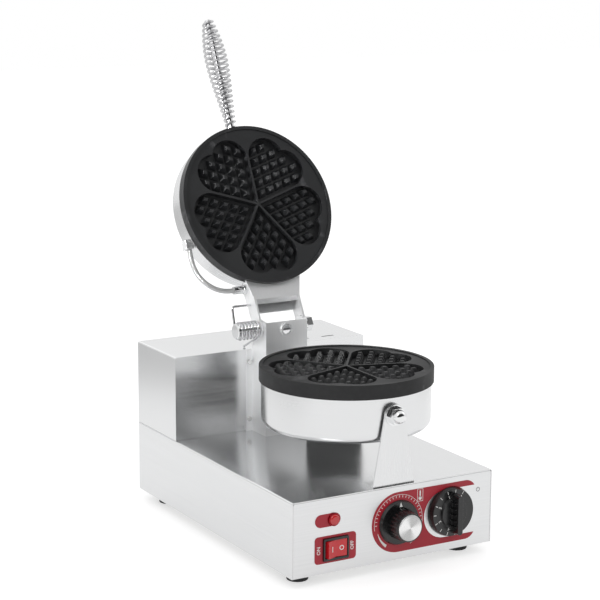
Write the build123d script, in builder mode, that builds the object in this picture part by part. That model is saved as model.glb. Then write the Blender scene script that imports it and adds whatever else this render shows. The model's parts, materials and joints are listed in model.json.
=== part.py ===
# Counter-top waffle maker with one round baking pan and a hinged lid, in millimetres.
# X runs to the right, Y to the back and Z up. The feet stand on z = 0.
# The lid is modelled standing open, with its handle pointing up.

import os
from math import acos, atan2, cos, degrees, hypot, log, pi, radians, sin

from build123d import *

os.makedirs("parts", exist_ok=True)


# Driving sizes of the base and the rear housing

BASE_W = 250.0
BASE_D = 362.0
BASE_H = 82.0
SHEET = 1.2
BEND = 2.0
FOOT_H = 12.0
FOOT_R = 13.0
FOOT_INSET_X = 24.0
FOOT_INSET_Y = 30.0
REAR_H = 97.0
TOP_SLOT_L = 17.0
TOP_SLOT_W = 2.7
TOP_SLOT_X = 50.0
TOP_SLOT_PITCH = 34.0
TOP_SLOT_BACK = 15.0
VENT_L = 26.0
VENT_W = 4.0
VENT_PITCH = 10.0
VENT_COUNT = 5

# Driving sizes of the pan, the lid and the baking plates

PAN_SETBACK = 5.0
PLATE_R = 95.0
DECK_TO_PAN = 45.0
PAN_H = 65.0
LID_H = 43.0
LOWER_BAND_H = 16.0
LID_BAND_H = 12.0
SHELL_STEP = 2.5
SHELL_WALL = 1.0
SHELL_CORNER = 9.0
PARTING_GAP = 0.6
LIP_W = 4.0
LIP_H = 1.2
LAND_W = 7.0
RECESS = 9.0
PLATE_FLOOR = 3.0
RIB_W = 2.4
LOBE_SPREAD = 13.0
HEARTS = 5
PEG_PITCH = 12.8
PEG_BASE = 10.0
PEG_H = 7.4
PEG_TAPER = 23.0
PEG_MARGIN = 2.0
PEG_START = 0.85
ELEMENT_D = 8.0
ELEMENT_RING_R = 58.0
ELEMENT_ARC = 330.0
REFLECTOR_T = 1.5
TIE_R = 34.0
TIE_COUNT = 3
TIE_SCREW_R = 2.5
TIE_BOSS_R = 6.0
TIE_HEAD_R = 4.6
TIE_HEAD_H = 2.4

# Driving sizes of the hinge

HINGE_REACH = 49.5
HINGE_UP = 14.0
LID_ANGLE = 116.0
PIN_R = 5.0
PIN_CLEAR = 0.06
PIN_HEAD_R = 9.0
PIN_HEAD_H = 3.5
PIN_NUT_AF = 16.0
PIN_NUT_H = 5.0
PIN_NUT_CAP = 2.0
EYE_R = 9.0
STAND_W = 54.0
STAND_SHEET = 2.0
STAND_FRONT = 14.5
STAND_BEHIND = 19.5
STAND_FLANGE = 8.0
STAND_ABOVE_PIN = 9.0
STAND_EYE_RIM = 1.5
CABLE_HOLE_R = 6.0
CABLE_BOSS_R = 8.0
CABLE_BOSS_H = 2.5
ARM_T = 2.5
WEB_T = 2.5
WEB_REACH = 33.0
WEB_FLARE = 7.0
WEB_BEHIND_EYE = 1.5
WEB_TOP_IN = 12.0
WEB_LIP = 7.0
WEB_LIP_TURN = 45.0
BACK_WEB_REACH = 20.0
ARM_H_AT_SHELL = 17.0
CARRIER_W = 40.0
CARRIER_H = 26.0
CARRIER_GAP = 2.0

# Driving sizes of the hinge spring

SPRING_R = 9.4
SPRING_WIRE = 2.8
SPRING_L = 25.0
SPRING_TURNS = 4.5
BASE_LEG_IN = 10.0
HOOK_ALONG = 30.0
HOOK_BEHIND = 4.0
HOOK_STEPS = 11
WIRE_SIDES = 6
WIRE_STEPS = 12

# Driving sizes of the front bracket and its bolt

BRACKET_FOOT_W = 51.0
BRACKET_TOP_W = 24.0
BRACKET_T = 2.0
BRACKET_SETBACK = 3.0
BRACKET_FOOT_D = 16.0
BOLT_IN_PAN = 31.0
BOLT_R = 5.0
BOLT_HEAD_H = 4.0
BOLT_HEAD_AF = 16.0
SPACER_WALL = 3.0
WASHER_R = 11.5
WASHER_T = 1.6
NUT_AF = 17.0
NUT_H = 6.0
NUT_DOME_R = 7.6
NUT_DOME_FLAT = 1.0

# Driving sizes of the coil handle

HANDLE_L = 145.0
HANDLE_DEPTH = 25.0
ROD_R = 4.0
GRIP_WIRE_R = 1.4
GRIP_PITCH = 6.2
GRIP_R_MAX = 13.8
GRIP_WIDE_AT = 0.62
FERRULE_R = 7.5
FERRULE_L = 9.0
ROD_IN = 8.0
ROD_NUT_AF = 12.8
ROD_NUT_H = 6.0

# Driving sizes of the short armoured lead on the lid

LEAD_R = 3.0
LEAD_BEND_R = 40.0
LEAD_OUT = 7.6
LEAD_TOP = -42.0
LEAD_DEPTH = 21.0
LEAD_IN = 1.5
ELBOW = 11.0
CONNECTOR_R = 4.6
CONNECTOR_L = 16.2
CONNECTOR_NUT_AF = 10.5
CONNECTOR_NUT_L = 4.0

# Driving sizes of the control panel: heights from the base's bottom edge, insets from its sides

DIAL_X = 4.5
DIAL_Z = 41.5
DIAL_R = 24.5
DIAL_PROUD = 24.0
TIMER_INSET = 55.0
TIMER_Z = 43.5
TIMER_R = 27.5
TIMER_PROUD = 21.0
SWITCH_INSET = 52.0
SWITCH_Z = 26.0
SWITCH_W = 31.0
SWITCH_H = 25.0
SWITCH_TILT = 8.0
LAMP_INSET = 49.5
LAMP_Z = 57.5
LAMP_R = 7.2
KNOB_GAP = 1.0
OVERLAY_T = 0.4
OVERLAY_R = 33.0
OVERLAY_INSET = 21.5
OVERLAY_CORNER = 13.0
TIMER_FIELD_R = 26.5
TIMER_FIELD_SHIFT = 6.5

# Driving sizes of the controls behind the panel

BUSH_R = 5.0
BUSH_L = 7.0
BUSH_NUT_AF = 15.0
BUSH_NUT_H = 2.5
SHAFT_R = 3.0
SHAFT_IN = 10.0
SHAFT_PROUD = 17.0
BUSH_HOLE_R = 9.5
LAMP_BARREL_R = 5.5
SWITCH_FLANGE = 1.5
SWITCH_BODY_W = SWITCH_W - 2 * SWITCH_FLANGE
SWITCH_BODY_H = SWITCH_H - 2 * SWITCH_FLANGE

# Driving sizes of the cable gland, the opening under the rear housing and the screws

GLAND_INSET = 41.5
GLAND_BARREL_R = 8.0
GLAND_HEX_AF = 20.0
GLAND_HEX_L = 6.0
GLAND_DOME_R = 8.6
GLAND_DOME_L = 9.0
GLAND_DOME_ROUND = 3.0
GLAND_BORE_R = 4.5
GLAND_IN = 9.0
GLAND_NUT_L = 4.0
DECK_PORT_L = 125.0
DECK_PORT_W = 32.0
SMALL_SCREW_R = 1.5
SMALL_HEAD_R = 3.0
SMALL_HEAD_H = 1.8
SCREW_GRIP = 3.6
FLANGE_SCREW_PITCH = 68.0
FOOT_SCREW_PITCH = 30.0
FOOT_SCREW_R = 2.5

# Named clearances

RUN_GAP = 0.3
FIT = 0.05
PANEL_GAP = 0.15

# Places worked out from the sizes above

SHELL_R = PLATE_R - SHELL_STEP
SHELL_INSIDE_R = SHELL_R - SHELL_WALL
PAN_BACK = PLATE_R + PAN_SETBACK
HINGE_BACK = PLATE_R + HINGE_REACH
OPEN_COS = cos(radians(LID_ANGLE))
OPEN_SIN = sin(radians(LID_ANGLE))
HANDLE_TIP_BACK = (
    PAN_BACK
    + HINGE_BACK
    - (HINGE_BACK + PLATE_R + HANDLE_L) * OPEN_COS
    + (HANDLE_DEPTH - HINGE_UP) * OPEN_SIN
    + ROD_R * OPEN_SIN
)
FRONT_Y = (DIAL_PROUD - HANDLE_TIP_BACK) / 2
BOTTOM_Z = FOOT_H
DECK_Z = BOTTOM_Z + BASE_H
PAN_Y = FRONT_Y + PAN_BACK
PARTING_Z = DECK_Z + DECK_TO_PAN + PAN_H
HINGE_Y = PAN_Y + HINGE_BACK
HINGE_Z = PARTING_Z + HINGE_UP
STAND_Y = HINGE_Y - STAND_FRONT
REAR_Y = HINGE_Y + STAND_BEHIND
BACK_Y = FRONT_Y + BASE_D
REAR_D = BACK_Y - REAR_Y
REAR_TOP_Z = DECK_Z + REAR_H
BASE_Y = FRONT_Y + BASE_D / 2
BRACKET_BOLT_UP = DECK_TO_PAN + BOLT_IN_PAN
BOLT_Z = DECK_Z + BRACKET_BOLT_UP
GLAND_X = BASE_W / 2 - GLAND_INSET
TIMER_X = BASE_W / 2 - TIMER_INSET
SWITCH_X = SWITCH_INSET - BASE_W / 2
LAMP_X = LAMP_INSET - BASE_W / 2
OVERLAY_RIGHT = BASE_W / 2 - OVERLAY_INSET

FRONT = Plane(origin=(0, FRONT_Y, BOTTOM_Z), x_dir=(1, 0, 0), z_dir=(0, -1, 0))
PAN_FACE = Plane(origin=(0, PAN_Y, PARTING_Z), x_dir=(1, 0, 0), z_dir=(0, 0, 1))
HINGE_AXIS = Axis((0, HINGE_Y, HINGE_Z), (1, 0, 0))

# The lid's face when it is shut is turned about the hinge to where it stands open.
LID_BACK_SHUT = -HINGE_BACK
LID_UP_SHUT = PARTING_GAP - HINGE_UP
LID_FACE = Plane(
    origin=(
        0,
        HINGE_Y + LID_BACK_SHUT * OPEN_COS + LID_UP_SHUT * OPEN_SIN,
        HINGE_Z - LID_BACK_SHUT * OPEN_SIN + LID_UP_SHUT * OPEN_COS,
    ),
    x_dir=(1, 0, 0),
    z_dir=(0, -OPEN_SIN, -OPEN_COS),
)
LID_SIDE = Plane(origin=LID_FACE.origin, x_dir=LID_FACE.y_dir, z_dir=LID_FACE.x_dir)
HINGE_DEPTH = HINGE_UP - PARTING_GAP
HANDLE_PLANE = Plane(
    origin=LID_FACE.offset(-HANDLE_DEPTH).origin, x_dir=LID_FACE.x_dir, z_dir=LID_FACE.y_dir
)

# The faces that the screws and the cable gland sit on, with the grids of the screws
FLANGE_FACE = Plane(
    (0, REAR_Y - STAND_SHEET, DECK_Z + REAR_H / 2), x_dir=(1, 0, 0), z_dir=(0, -1, 0)
)
FLANGE_SCREW_GRID = (STAND_W + STAND_FLANGE, FLANGE_SCREW_PITCH, 2, 2)
BRACKET_FOOT_Y = FRONT_Y + BRACKET_SETBACK + (BRACKET_T + BRACKET_FOOT_D) / 2
BRACKET_FOOT_FACE = Plane((0, BRACKET_FOOT_Y, DECK_Z + BRACKET_T))
BRACKET_SCREW_GRID = (FOOT_SCREW_PITCH, 0, 2, 1)
GLAND_FACE = Plane((-GLAND_X, BACK_Y, BOTTOM_Z + BASE_H / 2), x_dir=(-1, 0, 0), z_dir=(0, 1, 0))


def save(builder, name):
    """Label a finished sub-part and write it to its own file."""
    builder.part.label = name
    export_step(builder.part, f"parts/{name}.step")


def axis_of(face):
    """The line through a face plane's origin, square to the plane."""
    return Axis(face.origin, face.z_dir)


def wound_wire(points, wire_r):
    """A wire of six-sided section along straight runs, mitred where they meet."""
    with BuildPart() as wire:
        with BuildLine() as route:
            Polyline(*points)
        with BuildSketch(Plane(origin=route.line @ 0, z_dir=route.line % 0)):
            RegularPolygon(wire_r, WIRE_SIDES)
        sweep(path=route.line, transition=Transition.RIGHT)
    return wire


# Folded sheet body: deck, two sides and back, open at the front and below

with BuildPart() as base_shell:
    with BuildSketch(Plane((0, BASE_Y, BOTTOM_Z))):
        Rectangle(BASE_W, BASE_D)
    extrude(amount=BASE_H)
    top_side_edges = base_shell.edges().filter_by(Axis.Y).group_by(Axis.Z)[-1]
    fillet(top_side_edges, BEND)
    front_face = base_shell.faces().sort_by(Axis.Y)[0]
    under_face = base_shell.faces().sort_by(Axis.Z)[0]
    offset(amount=-SHEET, openings=[front_face, under_face])
    with BuildSketch(Plane((0, REAR_Y + REAR_D / 2, DECK_Z))):
        SlotOverall(DECK_PORT_L, DECK_PORT_W)
    extrude(amount=-BEND, mode=Mode.SUBTRACT)
    with BuildSketch(BRACKET_FOOT_FACE):
        with GridLocations(*BRACKET_SCREW_GRID):
            Circle(SMALL_SCREW_R + FIT)
    extrude(amount=-BRACKET_T - BEND, mode=Mode.SUBTRACT)
    with BuildSketch(GLAND_FACE):
        Circle(GLAND_BARREL_R + FIT)
    extrude(amount=-BEND, mode=Mode.SUBTRACT)
save(base_shell, "base_shell")


# Front panel, set between the sides, with holes for the controls

PANEL_W = BASE_W - 2 * (SHEET + PANEL_GAP)
PANEL_H = BASE_H - SHEET - PANEL_GAP

with BuildPart() as front_panel:
    with BuildSketch(FRONT):
        with Locations((0, PANEL_H / 2)):
            Rectangle(PANEL_W, PANEL_H)
        fillet(vertices().group_by(Axis.Y)[-1], BEND)
        with Locations((DIAL_X, DIAL_Z), (TIMER_X, TIMER_Z)):
            Circle(BUSH_R + PANEL_GAP, mode=Mode.SUBTRACT)
        with Locations((LAMP_X, LAMP_Z)):
            Circle(LAMP_BARREL_R + PANEL_GAP, mode=Mode.SUBTRACT)
        with Locations((SWITCH_X, SWITCH_Z)):
            Rectangle(
                SWITCH_BODY_W + 2 * PANEL_GAP,
                SWITCH_BODY_H + 2 * PANEL_GAP,
                mode=Mode.SUBTRACT,
            )
    extrude(amount=-SHEET)
save(front_panel, "front_panel")


# Bottom plate with louvre slots and the holes for the feet

FOOT_X = BASE_W / 2 - FOOT_INSET_X
FOOT_Y = BASE_D / 2 - FOOT_INSET_Y
BOTTOM_W = BASE_W - 2 * (SHEET + PANEL_GAP)
BOTTOM_D = BASE_D - 2 * (SHEET + PANEL_GAP)

with BuildPart() as bottom_plate:
    with BuildSketch(Plane((0, BASE_Y, BOTTOM_Z))):
        Rectangle(BOTTOM_W, BOTTOM_D)
        with GridLocations(2 * FOOT_X, 2 * FOOT_Y, 2, 2):
            Circle(FOOT_SCREW_R + PANEL_GAP, mode=Mode.SUBTRACT)
        with GridLocations(2 * VENT_L, 2 * VENT_PITCH, 3, VENT_COUNT):
            SlotOverall(VENT_L, VENT_W, mode=Mode.SUBTRACT)
    extrude(amount=SHEET)
save(bottom_plate, "bottom_plate")


# Rear housing on the deck, open below, with two slots on top and a row of louvres behind

with BuildPart() as rear_housing:
    with BuildSketch(Plane((0, REAR_Y + REAR_D / 2, DECK_Z))):
        Rectangle(BASE_W, REAR_D)
    extrude(amount=REAR_H)
    top_edges = rear_housing.edges().group_by(Axis.Z)[-1].filter_by(Axis.Y)
    fillet(top_edges, BEND)
    rear_under = rear_housing.faces().sort_by(Axis.Z)[0]
    offset(amount=-SHEET, openings=rear_under)
    with BuildSketch(Plane((0, BACK_Y, DECK_Z + REAR_H / 2), x_dir=(-1, 0, 0), z_dir=(0, 1, 0))):
        with GridLocations(2 * VENT_L, VENT_PITCH, 3, VENT_COUNT):
            SlotOverall(VENT_L, VENT_W)
    extrude(amount=-BEND, mode=Mode.SUBTRACT)
    with BuildSketch(Plane((0, REAR_Y + TOP_SLOT_BACK, REAR_TOP_Z))):
        with Locations((TOP_SLOT_X, 0), (TOP_SLOT_X + TOP_SLOT_PITCH, 0)):
            SlotOverall(TOP_SLOT_L, TOP_SLOT_W)
    extrude(amount=-BEND, mode=Mode.SUBTRACT)
    with BuildSketch(FLANGE_FACE):
        with GridLocations(*FLANGE_SCREW_GRID):
            Circle(SMALL_SCREW_R + FIT)
    extrude(amount=-STAND_SHEET - BEND, mode=Mode.SUBTRACT)
save(rear_housing, "rear_housing")


# Hinge stand: a folded channel on the deck, fixed to the rear housing's front by two flanges

STAND_TOP_Z = HINGE_Z + STAND_ABOVE_PIN
EAR_X = STAND_W / 2
EAR_EYE_R = EYE_R + STAND_EYE_RIM

with BuildPart() as hinge_stand:
    for side in (-1, 1):
        with BuildSketch(Plane.YZ.offset(side * (EAR_X - STAND_SHEET / 2))):
            with BuildLine():
                Polyline(
                    (STAND_Y, DECK_Z),
                    (STAND_Y, STAND_TOP_Z),
                    (HINGE_Y, HINGE_Z + EAR_EYE_R),
                    (HINGE_Y + EAR_EYE_R, HINGE_Z),
                    (REAR_Y, REAR_TOP_Z),
                    (REAR_Y, DECK_Z),
                    close=True,
                )
            make_face()
            with Locations((HINGE_Y, HINGE_Z)):
                Circle(EAR_EYE_R)
        extrude(amount=STAND_SHEET / 2, both=True)
    with BuildSketch(Plane((0, STAND_Y + STAND_SHEET / 2, DECK_Z))):
        Rectangle(STAND_W, STAND_SHEET)
    extrude(amount=STAND_TOP_Z - DECK_Z)
    with BuildSketch(Plane((0, REAR_Y - STAND_SHEET / 2, DECK_Z))):
        with GridLocations(STAND_W + STAND_FLANGE - STAND_SHEET, 0, 2, 1):
            Rectangle(STAND_FLANGE + STAND_SHEET, STAND_SHEET)
    extrude(amount=REAR_H)
    with BuildSketch(Plane((0, STAND_Y, HINGE_Z), x_dir=(1, 0, 0), z_dir=(0, -1, 0))):
        Circle(CABLE_BOSS_R)
    extrude(amount=CABLE_BOSS_H)
    with BuildSketch(Plane((0, STAND_Y, HINGE_Z), x_dir=(1, 0, 0), z_dir=(0, -1, 0))):
        Circle(CABLE_HOLE_R)
    extrude(amount=CABLE_BOSS_H + STAND_SHEET, both=True, mode=Mode.SUBTRACT)
    with BuildSketch(Plane.YZ):
        with Locations((HINGE_Y, HINGE_Z)):
            Circle(PIN_R + FIT)
    extrude(amount=STAND_W, both=True, mode=Mode.SUBTRACT)
    with BuildSketch(FLANGE_FACE):
        with GridLocations(*FLANGE_SCREW_GRID):
            Circle(SMALL_SCREW_R + FIT)
    extrude(amount=-STAND_SHEET, mode=Mode.SUBTRACT)
save(hinge_stand, "hinge_stand")


# Front bracket: a tapered strip with a rounded top and a foot folded back on the deck

BRACKET_FACE = Plane(
    origin=(0, FRONT_Y + BRACKET_SETBACK, DECK_Z), x_dir=(1, 0, 0), z_dir=(0, -1, 0)
)
BRACKET_TOP_R = BRACKET_TOP_W / 2

with BuildPart() as front_bracket:
    with BuildSketch(BRACKET_FACE):
        with BuildLine():
            Polyline(
                (-BRACKET_TOP_R, BRACKET_BOLT_UP),
                (-BRACKET_FOOT_W / 2, BRACKET_T),
                (-BRACKET_FOOT_W / 2, 0),
                (BRACKET_FOOT_W / 2, 0),
                (BRACKET_FOOT_W / 2, BRACKET_T),
                (BRACKET_TOP_R, BRACKET_BOLT_UP),
            )
            RadiusArc(
                (BRACKET_TOP_R, BRACKET_BOLT_UP), (-BRACKET_TOP_R, BRACKET_BOLT_UP), -BRACKET_TOP_R
            )
        make_face()
        with Locations((0, BRACKET_BOLT_UP)):
            Circle(BOLT_R + FIT, mode=Mode.SUBTRACT)
    extrude(amount=-BRACKET_T)
    with BuildSketch(BRACKET_FOOT_FACE):
        Rectangle(BRACKET_FOOT_W, BRACKET_FOOT_D)
    extrude(amount=-BRACKET_T)
    with BuildSketch(BRACKET_FOOT_FACE):
        with GridLocations(*BRACKET_SCREW_GRID):
            Circle(SMALL_SCREW_R + FIT)
    extrude(amount=-BRACKET_T, mode=Mode.SUBTRACT)
save(front_bracket, "front_bracket")


# Spun dishes of the pan and the lid, open towards the baking plate


def spun_dish(face, band_h, depth):
    """A round dish with a rounded bottom corner, its rim against the plate's band."""
    with BuildPart() as dish:
        with BuildSketch(face.offset(-band_h)):
            Circle(SHELL_R)
        extrude(amount=band_h - depth)
        outward = axis_of(face)
        fillet(dish.edges().sort_by(outward)[0], SHELL_CORNER)
        rim = dish.faces().sort_by(outward)[-1]
        offset(amount=-SHELL_WALL, openings=rim)
        with BuildSketch(face.offset(-depth)):
            with PolarLocations(TIE_R, TIE_COUNT):
                Circle(TIE_SCREW_R + FIT)
        extrude(amount=2 * SHELL_WALL, mode=Mode.SUBTRACT)
    return dish


lower_shell = spun_dish(PAN_FACE, LOWER_BAND_H, PAN_H)
with BuildPart() as lower_shell_drilled:
    add(lower_shell.part)
    with BuildSketch(Plane((0, PAN_Y, BOLT_Z), x_dir=(1, 0, 0), z_dir=(0, -1, 0))):
        Circle(BOLT_R + FIT)
    extrude(amount=PLATE_R, mode=Mode.SUBTRACT)
save(lower_shell_drilled, "lower_shell")

lid_shell = spun_dish(LID_FACE, LID_BAND_H, LID_H)
with BuildPart() as lid_shell_drilled:
    add(lid_shell.part)
    with BuildSketch(HANDLE_PLANE):
        Circle(ROD_R + FIT)
    extrude(amount=PLATE_R, mode=Mode.SUBTRACT)
save(lid_shell_drilled, "lid_shell")


# Baking plates: a band with a raised lip, five heart-shaped recesses and rows of pegs

RECESS_R = PLATE_R - LIP_W - LAND_W
SECTOR = 360.0 / HEARTS
HALF_SECTOR = SECTOR / 2
LOBE_SIN = sin(radians(HALF_SECTOR - LOBE_SPREAD))
LOBE_AT = (RECESS_R + RIB_W / 2) / (1 + LOBE_SIN)
LOBE_R = RECESS_R - LOBE_AT


def heart(bisector):
    """One heart with its point near the plate's centre, along the given direction."""
    rib_cos = cos(radians(HALF_SECTOR))
    rib_sin = sin(radians(HALF_SECTOR))
    lobe_x = LOBE_AT * cos(radians(LOBE_SPREAD))
    lobe_y = LOBE_AT * sin(radians(LOBE_SPREAD))
    side_x = lobe_x - LOBE_R * rib_sin
    side_y = lobe_y + LOBE_R * rib_cos
    tip_x = RIB_W / 2 / rib_sin
    with BuildSketch(mode=Mode.PRIVATE) as outline:
        with BuildLine():
            Polyline(
                (tip_x, 0),
                (side_x, side_y),
                (lobe_x, lobe_y),
                (lobe_x, -lobe_y),
                (side_x, -side_y),
                close=True,
            )
        make_face()
        with Locations((lobe_x, lobe_y), (lobe_x, -lobe_y)):
            Circle(LOBE_R)
    return outline.sketch.rotate(Axis.Z, bisector)


def peg_spots():
    """Peg centres in one heart that points along X, in rows along its two ribs."""
    lobe_x = LOBE_AT * cos(radians(LOBE_SPREAD))
    lobe_y = LOBE_AT * sin(radians(LOBE_SPREAD))
    reach = LOBE_R - PEG_BASE / 2 - PEG_MARGIN
    spots = []
    rows = int(RECESS_R / PEG_PITCH) + 1
    for i in range(rows):
        for j in range(rows):
            along = (i + PEG_START) * PEG_PITCH
            across = (j + PEG_START) * PEG_PITCH
            x = (along + across) * cos(radians(HALF_SECTOR))
            y = (along - across) * sin(radians(HALF_SECTOR))
            in_lobe = hypot(x - lobe_x, abs(y) - lobe_y) <= reach
            if in_lobe or x < lobe_x:
                spots.append((x, y))
    return spots


def peg_outline():
    """The four-sided foot of one peg, with its sides along the two ribs."""
    rib_cos = cos(radians(HALF_SECTOR))
    rib_sin = sin(radians(HALF_SECTOR))
    edge = PEG_BASE / sin(radians(SECTOR))
    return [(edge * rib_cos, 0), (0, edge * rib_sin), (-edge * rib_cos, 0), (0, -edge * rib_sin)]


def waffle_plate(face, band_h, first_rib):
    """A baking plate whose face looks along the plane's normal."""
    bisectors = [first_rib + HALF_SECTOR + i * SECTOR for i in range(HEARTS)]
    spots = peg_spots()
    with BuildPart() as plate:
        with BuildSketch(face.offset(-band_h)):
            Circle(PLATE_R)
        extrude(amount=band_h)
        with BuildSketch(face):
            Circle(PLATE_R - LIP_W)
        extrude(amount=-LIP_H, mode=Mode.SUBTRACT)
        with BuildSketch(face.offset(-LIP_H)):
            for bisector in bisectors:
                add(heart(bisector))
        extrude(amount=LIP_H - RECESS, mode=Mode.SUBTRACT)
        with BuildSketch(face.offset(-RECESS)):
            for bisector in bisectors:
                with Locations(Location((0, 0, 0), (0, 0, bisector))):
                    with Locations(*spots):
                        Polygon(*peg_outline(), align=None)
        extrude(amount=PEG_H, taper=PEG_TAPER)
        hollow = band_h - RECESS - PLATE_FLOOR
        if hollow > 0:
            with BuildSketch(face.offset(-band_h)):
                Circle(SHELL_INSIDE_R - LIP_W)
            extrude(amount=hollow, mode=Mode.SUBTRACT)
        with BuildSketch(face.offset(-RECESS - PLATE_FLOOR)):
            with PolarLocations(TIE_R, TIE_COUNT):
                Circle(TIE_BOSS_R)
        extrude(amount=-ELEMENT_D)
        with BuildSketch(face.offset(-RECESS - PLATE_FLOOR - ELEMENT_D)):
            with PolarLocations(TIE_R, TIE_COUNT):
                Circle(TIE_SCREW_R + FIT)
        extrude(amount=ELEMENT_D, mode=Mode.SUBTRACT)
    return plate


save(waffle_plate(PAN_FACE, LOWER_BAND_H, -90.0), "lower_plate")
save(waffle_plate(LID_FACE, LID_BAND_H, 90.0), "lid_plate")


# Inside the pan and the lid: heating element, reflector, insulation and tie screws

INSULATION_R = SHELL_INSIDE_R - SHELL_CORNER - 2 * FIT
REFLECTOR_R = INSULATION_R - RUN_GAP
ELEMENT_DEPTH = RECESS + PLATE_FLOOR + ELEMENT_D / 2
REFLECTOR_DEPTH = RECESS + PLATE_FLOOR + ELEMENT_D


def heating_element(face):
    """A tubular ring element clamped against the plate's back, with a gap for its ends."""
    with BuildPart() as element:
        side = Plane(origin=face.origin, x_dir=face.x_dir, z_dir=-face.y_dir)
        with BuildSketch(side):
            with Locations((ELEMENT_RING_R, -ELEMENT_DEPTH)):
                Circle(ELEMENT_D / 2)
        revolve(axis=axis_of(face), revolution_arc=ELEMENT_ARC)
    return element


def reflector(face):
    """The round sheet that presses the element against the plate."""
    with BuildPart() as sheet:
        with BuildSketch(face.offset(-REFLECTOR_DEPTH)):
            Circle(REFLECTOR_R)
            with PolarLocations(TIE_R, TIE_COUNT):
                Circle(TIE_SCREW_R + PANEL_GAP, mode=Mode.SUBTRACT)
        extrude(amount=-REFLECTOR_T)
    return sheet


def insulation(face, depth):
    """The mineral mat between the reflector and the dish."""
    with BuildPart() as mat:
        top = REFLECTOR_DEPTH + REFLECTOR_T
        with BuildSketch(face.offset(-top)):
            Circle(INSULATION_R)
            with PolarLocations(TIE_R, TIE_COUNT):
                Circle(TIE_SCREW_R + PANEL_GAP, mode=Mode.SUBTRACT)
        extrude(amount=top + SHELL_WALL - depth)
    return mat


def tie_screws(face, depth):
    """Three long screws from outside the dish into the plate's bosses."""
    with BuildPart() as screws:
        with BuildSketch(face.offset(-depth)):
            with PolarLocations(TIE_R, TIE_COUNT):
                Circle(TIE_HEAD_R)
        extrude(amount=-TIE_HEAD_H)
        with BuildSketch(face.offset(-depth)):
            with PolarLocations(TIE_R, TIE_COUNT):
                Circle(TIE_SCREW_R)
        extrude(amount=depth - RECESS - PLATE_FLOOR)
    return screws


save(heating_element(PAN_FACE), "lower_element")
save(reflector(PAN_FACE), "lower_reflector")
save(insulation(PAN_FACE, PAN_H), "lower_insulation")
save(tie_screws(PAN_FACE, PAN_H), "lower_tie_screws")
save(heating_element(LID_FACE), "lid_element")
save(reflector(LID_FACE), "lid_reflector")
save(insulation(LID_FACE, LID_H), "lid_insulation")
save(tie_screws(LID_FACE, LID_H), "lid_tie_screws")


# Rear carrier: an upturned channel from the hinge stand to the pan's back

CARRIER_TOP_Z = PARTING_Z - LOWER_BAND_H - CARRIER_GAP

with BuildPart() as rear_carrier:
    with BuildSketch(
        Plane((0, STAND_Y, CARRIER_TOP_Z - CARRIER_H / 2), x_dir=(1, 0, 0), z_dir=(0, -1, 0))
    ):
        Rectangle(CARRIER_W, CARRIER_H)
        with Locations((0, -STAND_SHEET)):
            Rectangle(CARRIER_W - 2 * STAND_SHEET, CARRIER_H, mode=Mode.SUBTRACT)
    extrude(amount=STAND_Y - PAN_Y)
    with BuildSketch(Plane((0, PAN_Y, CARRIER_TOP_Z - CARRIER_H))):
        Circle(SHELL_R + FIT)
    extrude(amount=CARRIER_H, mode=Mode.SUBTRACT)
save(rear_carrier, "rear_carrier")


# Bolt, spacer, washer and domed nut that hold the pan on the front bracket

BRACKET_FRONT_Y = FRONT_Y + BRACKET_SETBACK
SHELL_FRONT_Y = PAN_Y - SHELL_R


def bolt_plane(y):
    """A plane square to the bracket bolt, facing the front."""
    return Plane((0, y, BOLT_Z), x_dir=(1, 0, 0), z_dir=(0, -1, 0))


with BuildPart() as bracket_bolt:
    with BuildSketch(bolt_plane(SHELL_FRONT_Y + SHELL_WALL + BOLT_HEAD_H + WASHER_T)):
        RegularPolygon(BOLT_HEAD_AF / 2, 6, major_radius=False)
    extrude(amount=BOLT_HEAD_H)
    with BuildSketch(bolt_plane(SHELL_FRONT_Y + SHELL_WALL + WASHER_T)):
        Circle(BOLT_R)
    extrude(amount=SHELL_FRONT_Y + SHELL_WALL + WASHER_T - BRACKET_FRONT_Y + WASHER_T + NUT_H)
save(bracket_bolt, "bracket_bolt")

with BuildPart() as bracket_spacer:
    with BuildSketch(bolt_plane(BRACKET_FRONT_Y + BRACKET_T)):
        Circle(BOLT_R + SPACER_WALL)
        Circle(BOLT_R + FIT, mode=Mode.SUBTRACT)
    extrude(amount=BRACKET_FRONT_Y + BRACKET_T - SHELL_FRONT_Y - SHELL_WALL)
    with BuildSketch(Plane((0, PAN_Y, DECK_Z + DECK_TO_PAN))):
        Circle(SHELL_R + FIT)
    extrude(amount=PAN_H, mode=Mode.SUBTRACT)
save(bracket_spacer, "bracket_spacer")

with BuildPart() as bracket_washer:
    with BuildSketch(bolt_plane(BRACKET_FRONT_Y)):
        Circle(WASHER_R)
        Circle(BOLT_R + FIT, mode=Mode.SUBTRACT)
    extrude(amount=WASHER_T)
save(bracket_washer, "bracket_washer")

with BuildPart() as bracket_cap_nut:
    with BuildSketch(bolt_plane(BRACKET_FRONT_Y - WASHER_T)):
        RegularPolygon(NUT_AF / 2, 6, major_radius=False)
    extrude(amount=NUT_H)
    with BuildSketch(bolt_plane(BRACKET_FRONT_Y - WASHER_T - NUT_H)):
        Circle(NUT_DOME_R)
    extrude(amount=NUT_DOME_R)
    fillet(bracket_cap_nut.edges().sort_by(Axis.Y)[0], NUT_DOME_R - NUT_DOME_FLAT)
    with BuildSketch(bolt_plane(BRACKET_FRONT_Y - WASHER_T)):
        Circle(BOLT_R + FIT)
    extrude(amount=NUT_H + FIT, mode=Mode.SUBTRACT)
save(bracket_cap_nut, "bracket_cap_nut")


# Hinge pin with a head at the left and a domed nut at the right

PIN_LEFT_X = -EAR_X - RUN_GAP - ARM_T - RUN_GAP - SPRING_L - 2 * RUN_GAP
PIN_RIGHT_X = EAR_X + RUN_GAP + ARM_T + RUN_GAP


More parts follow.
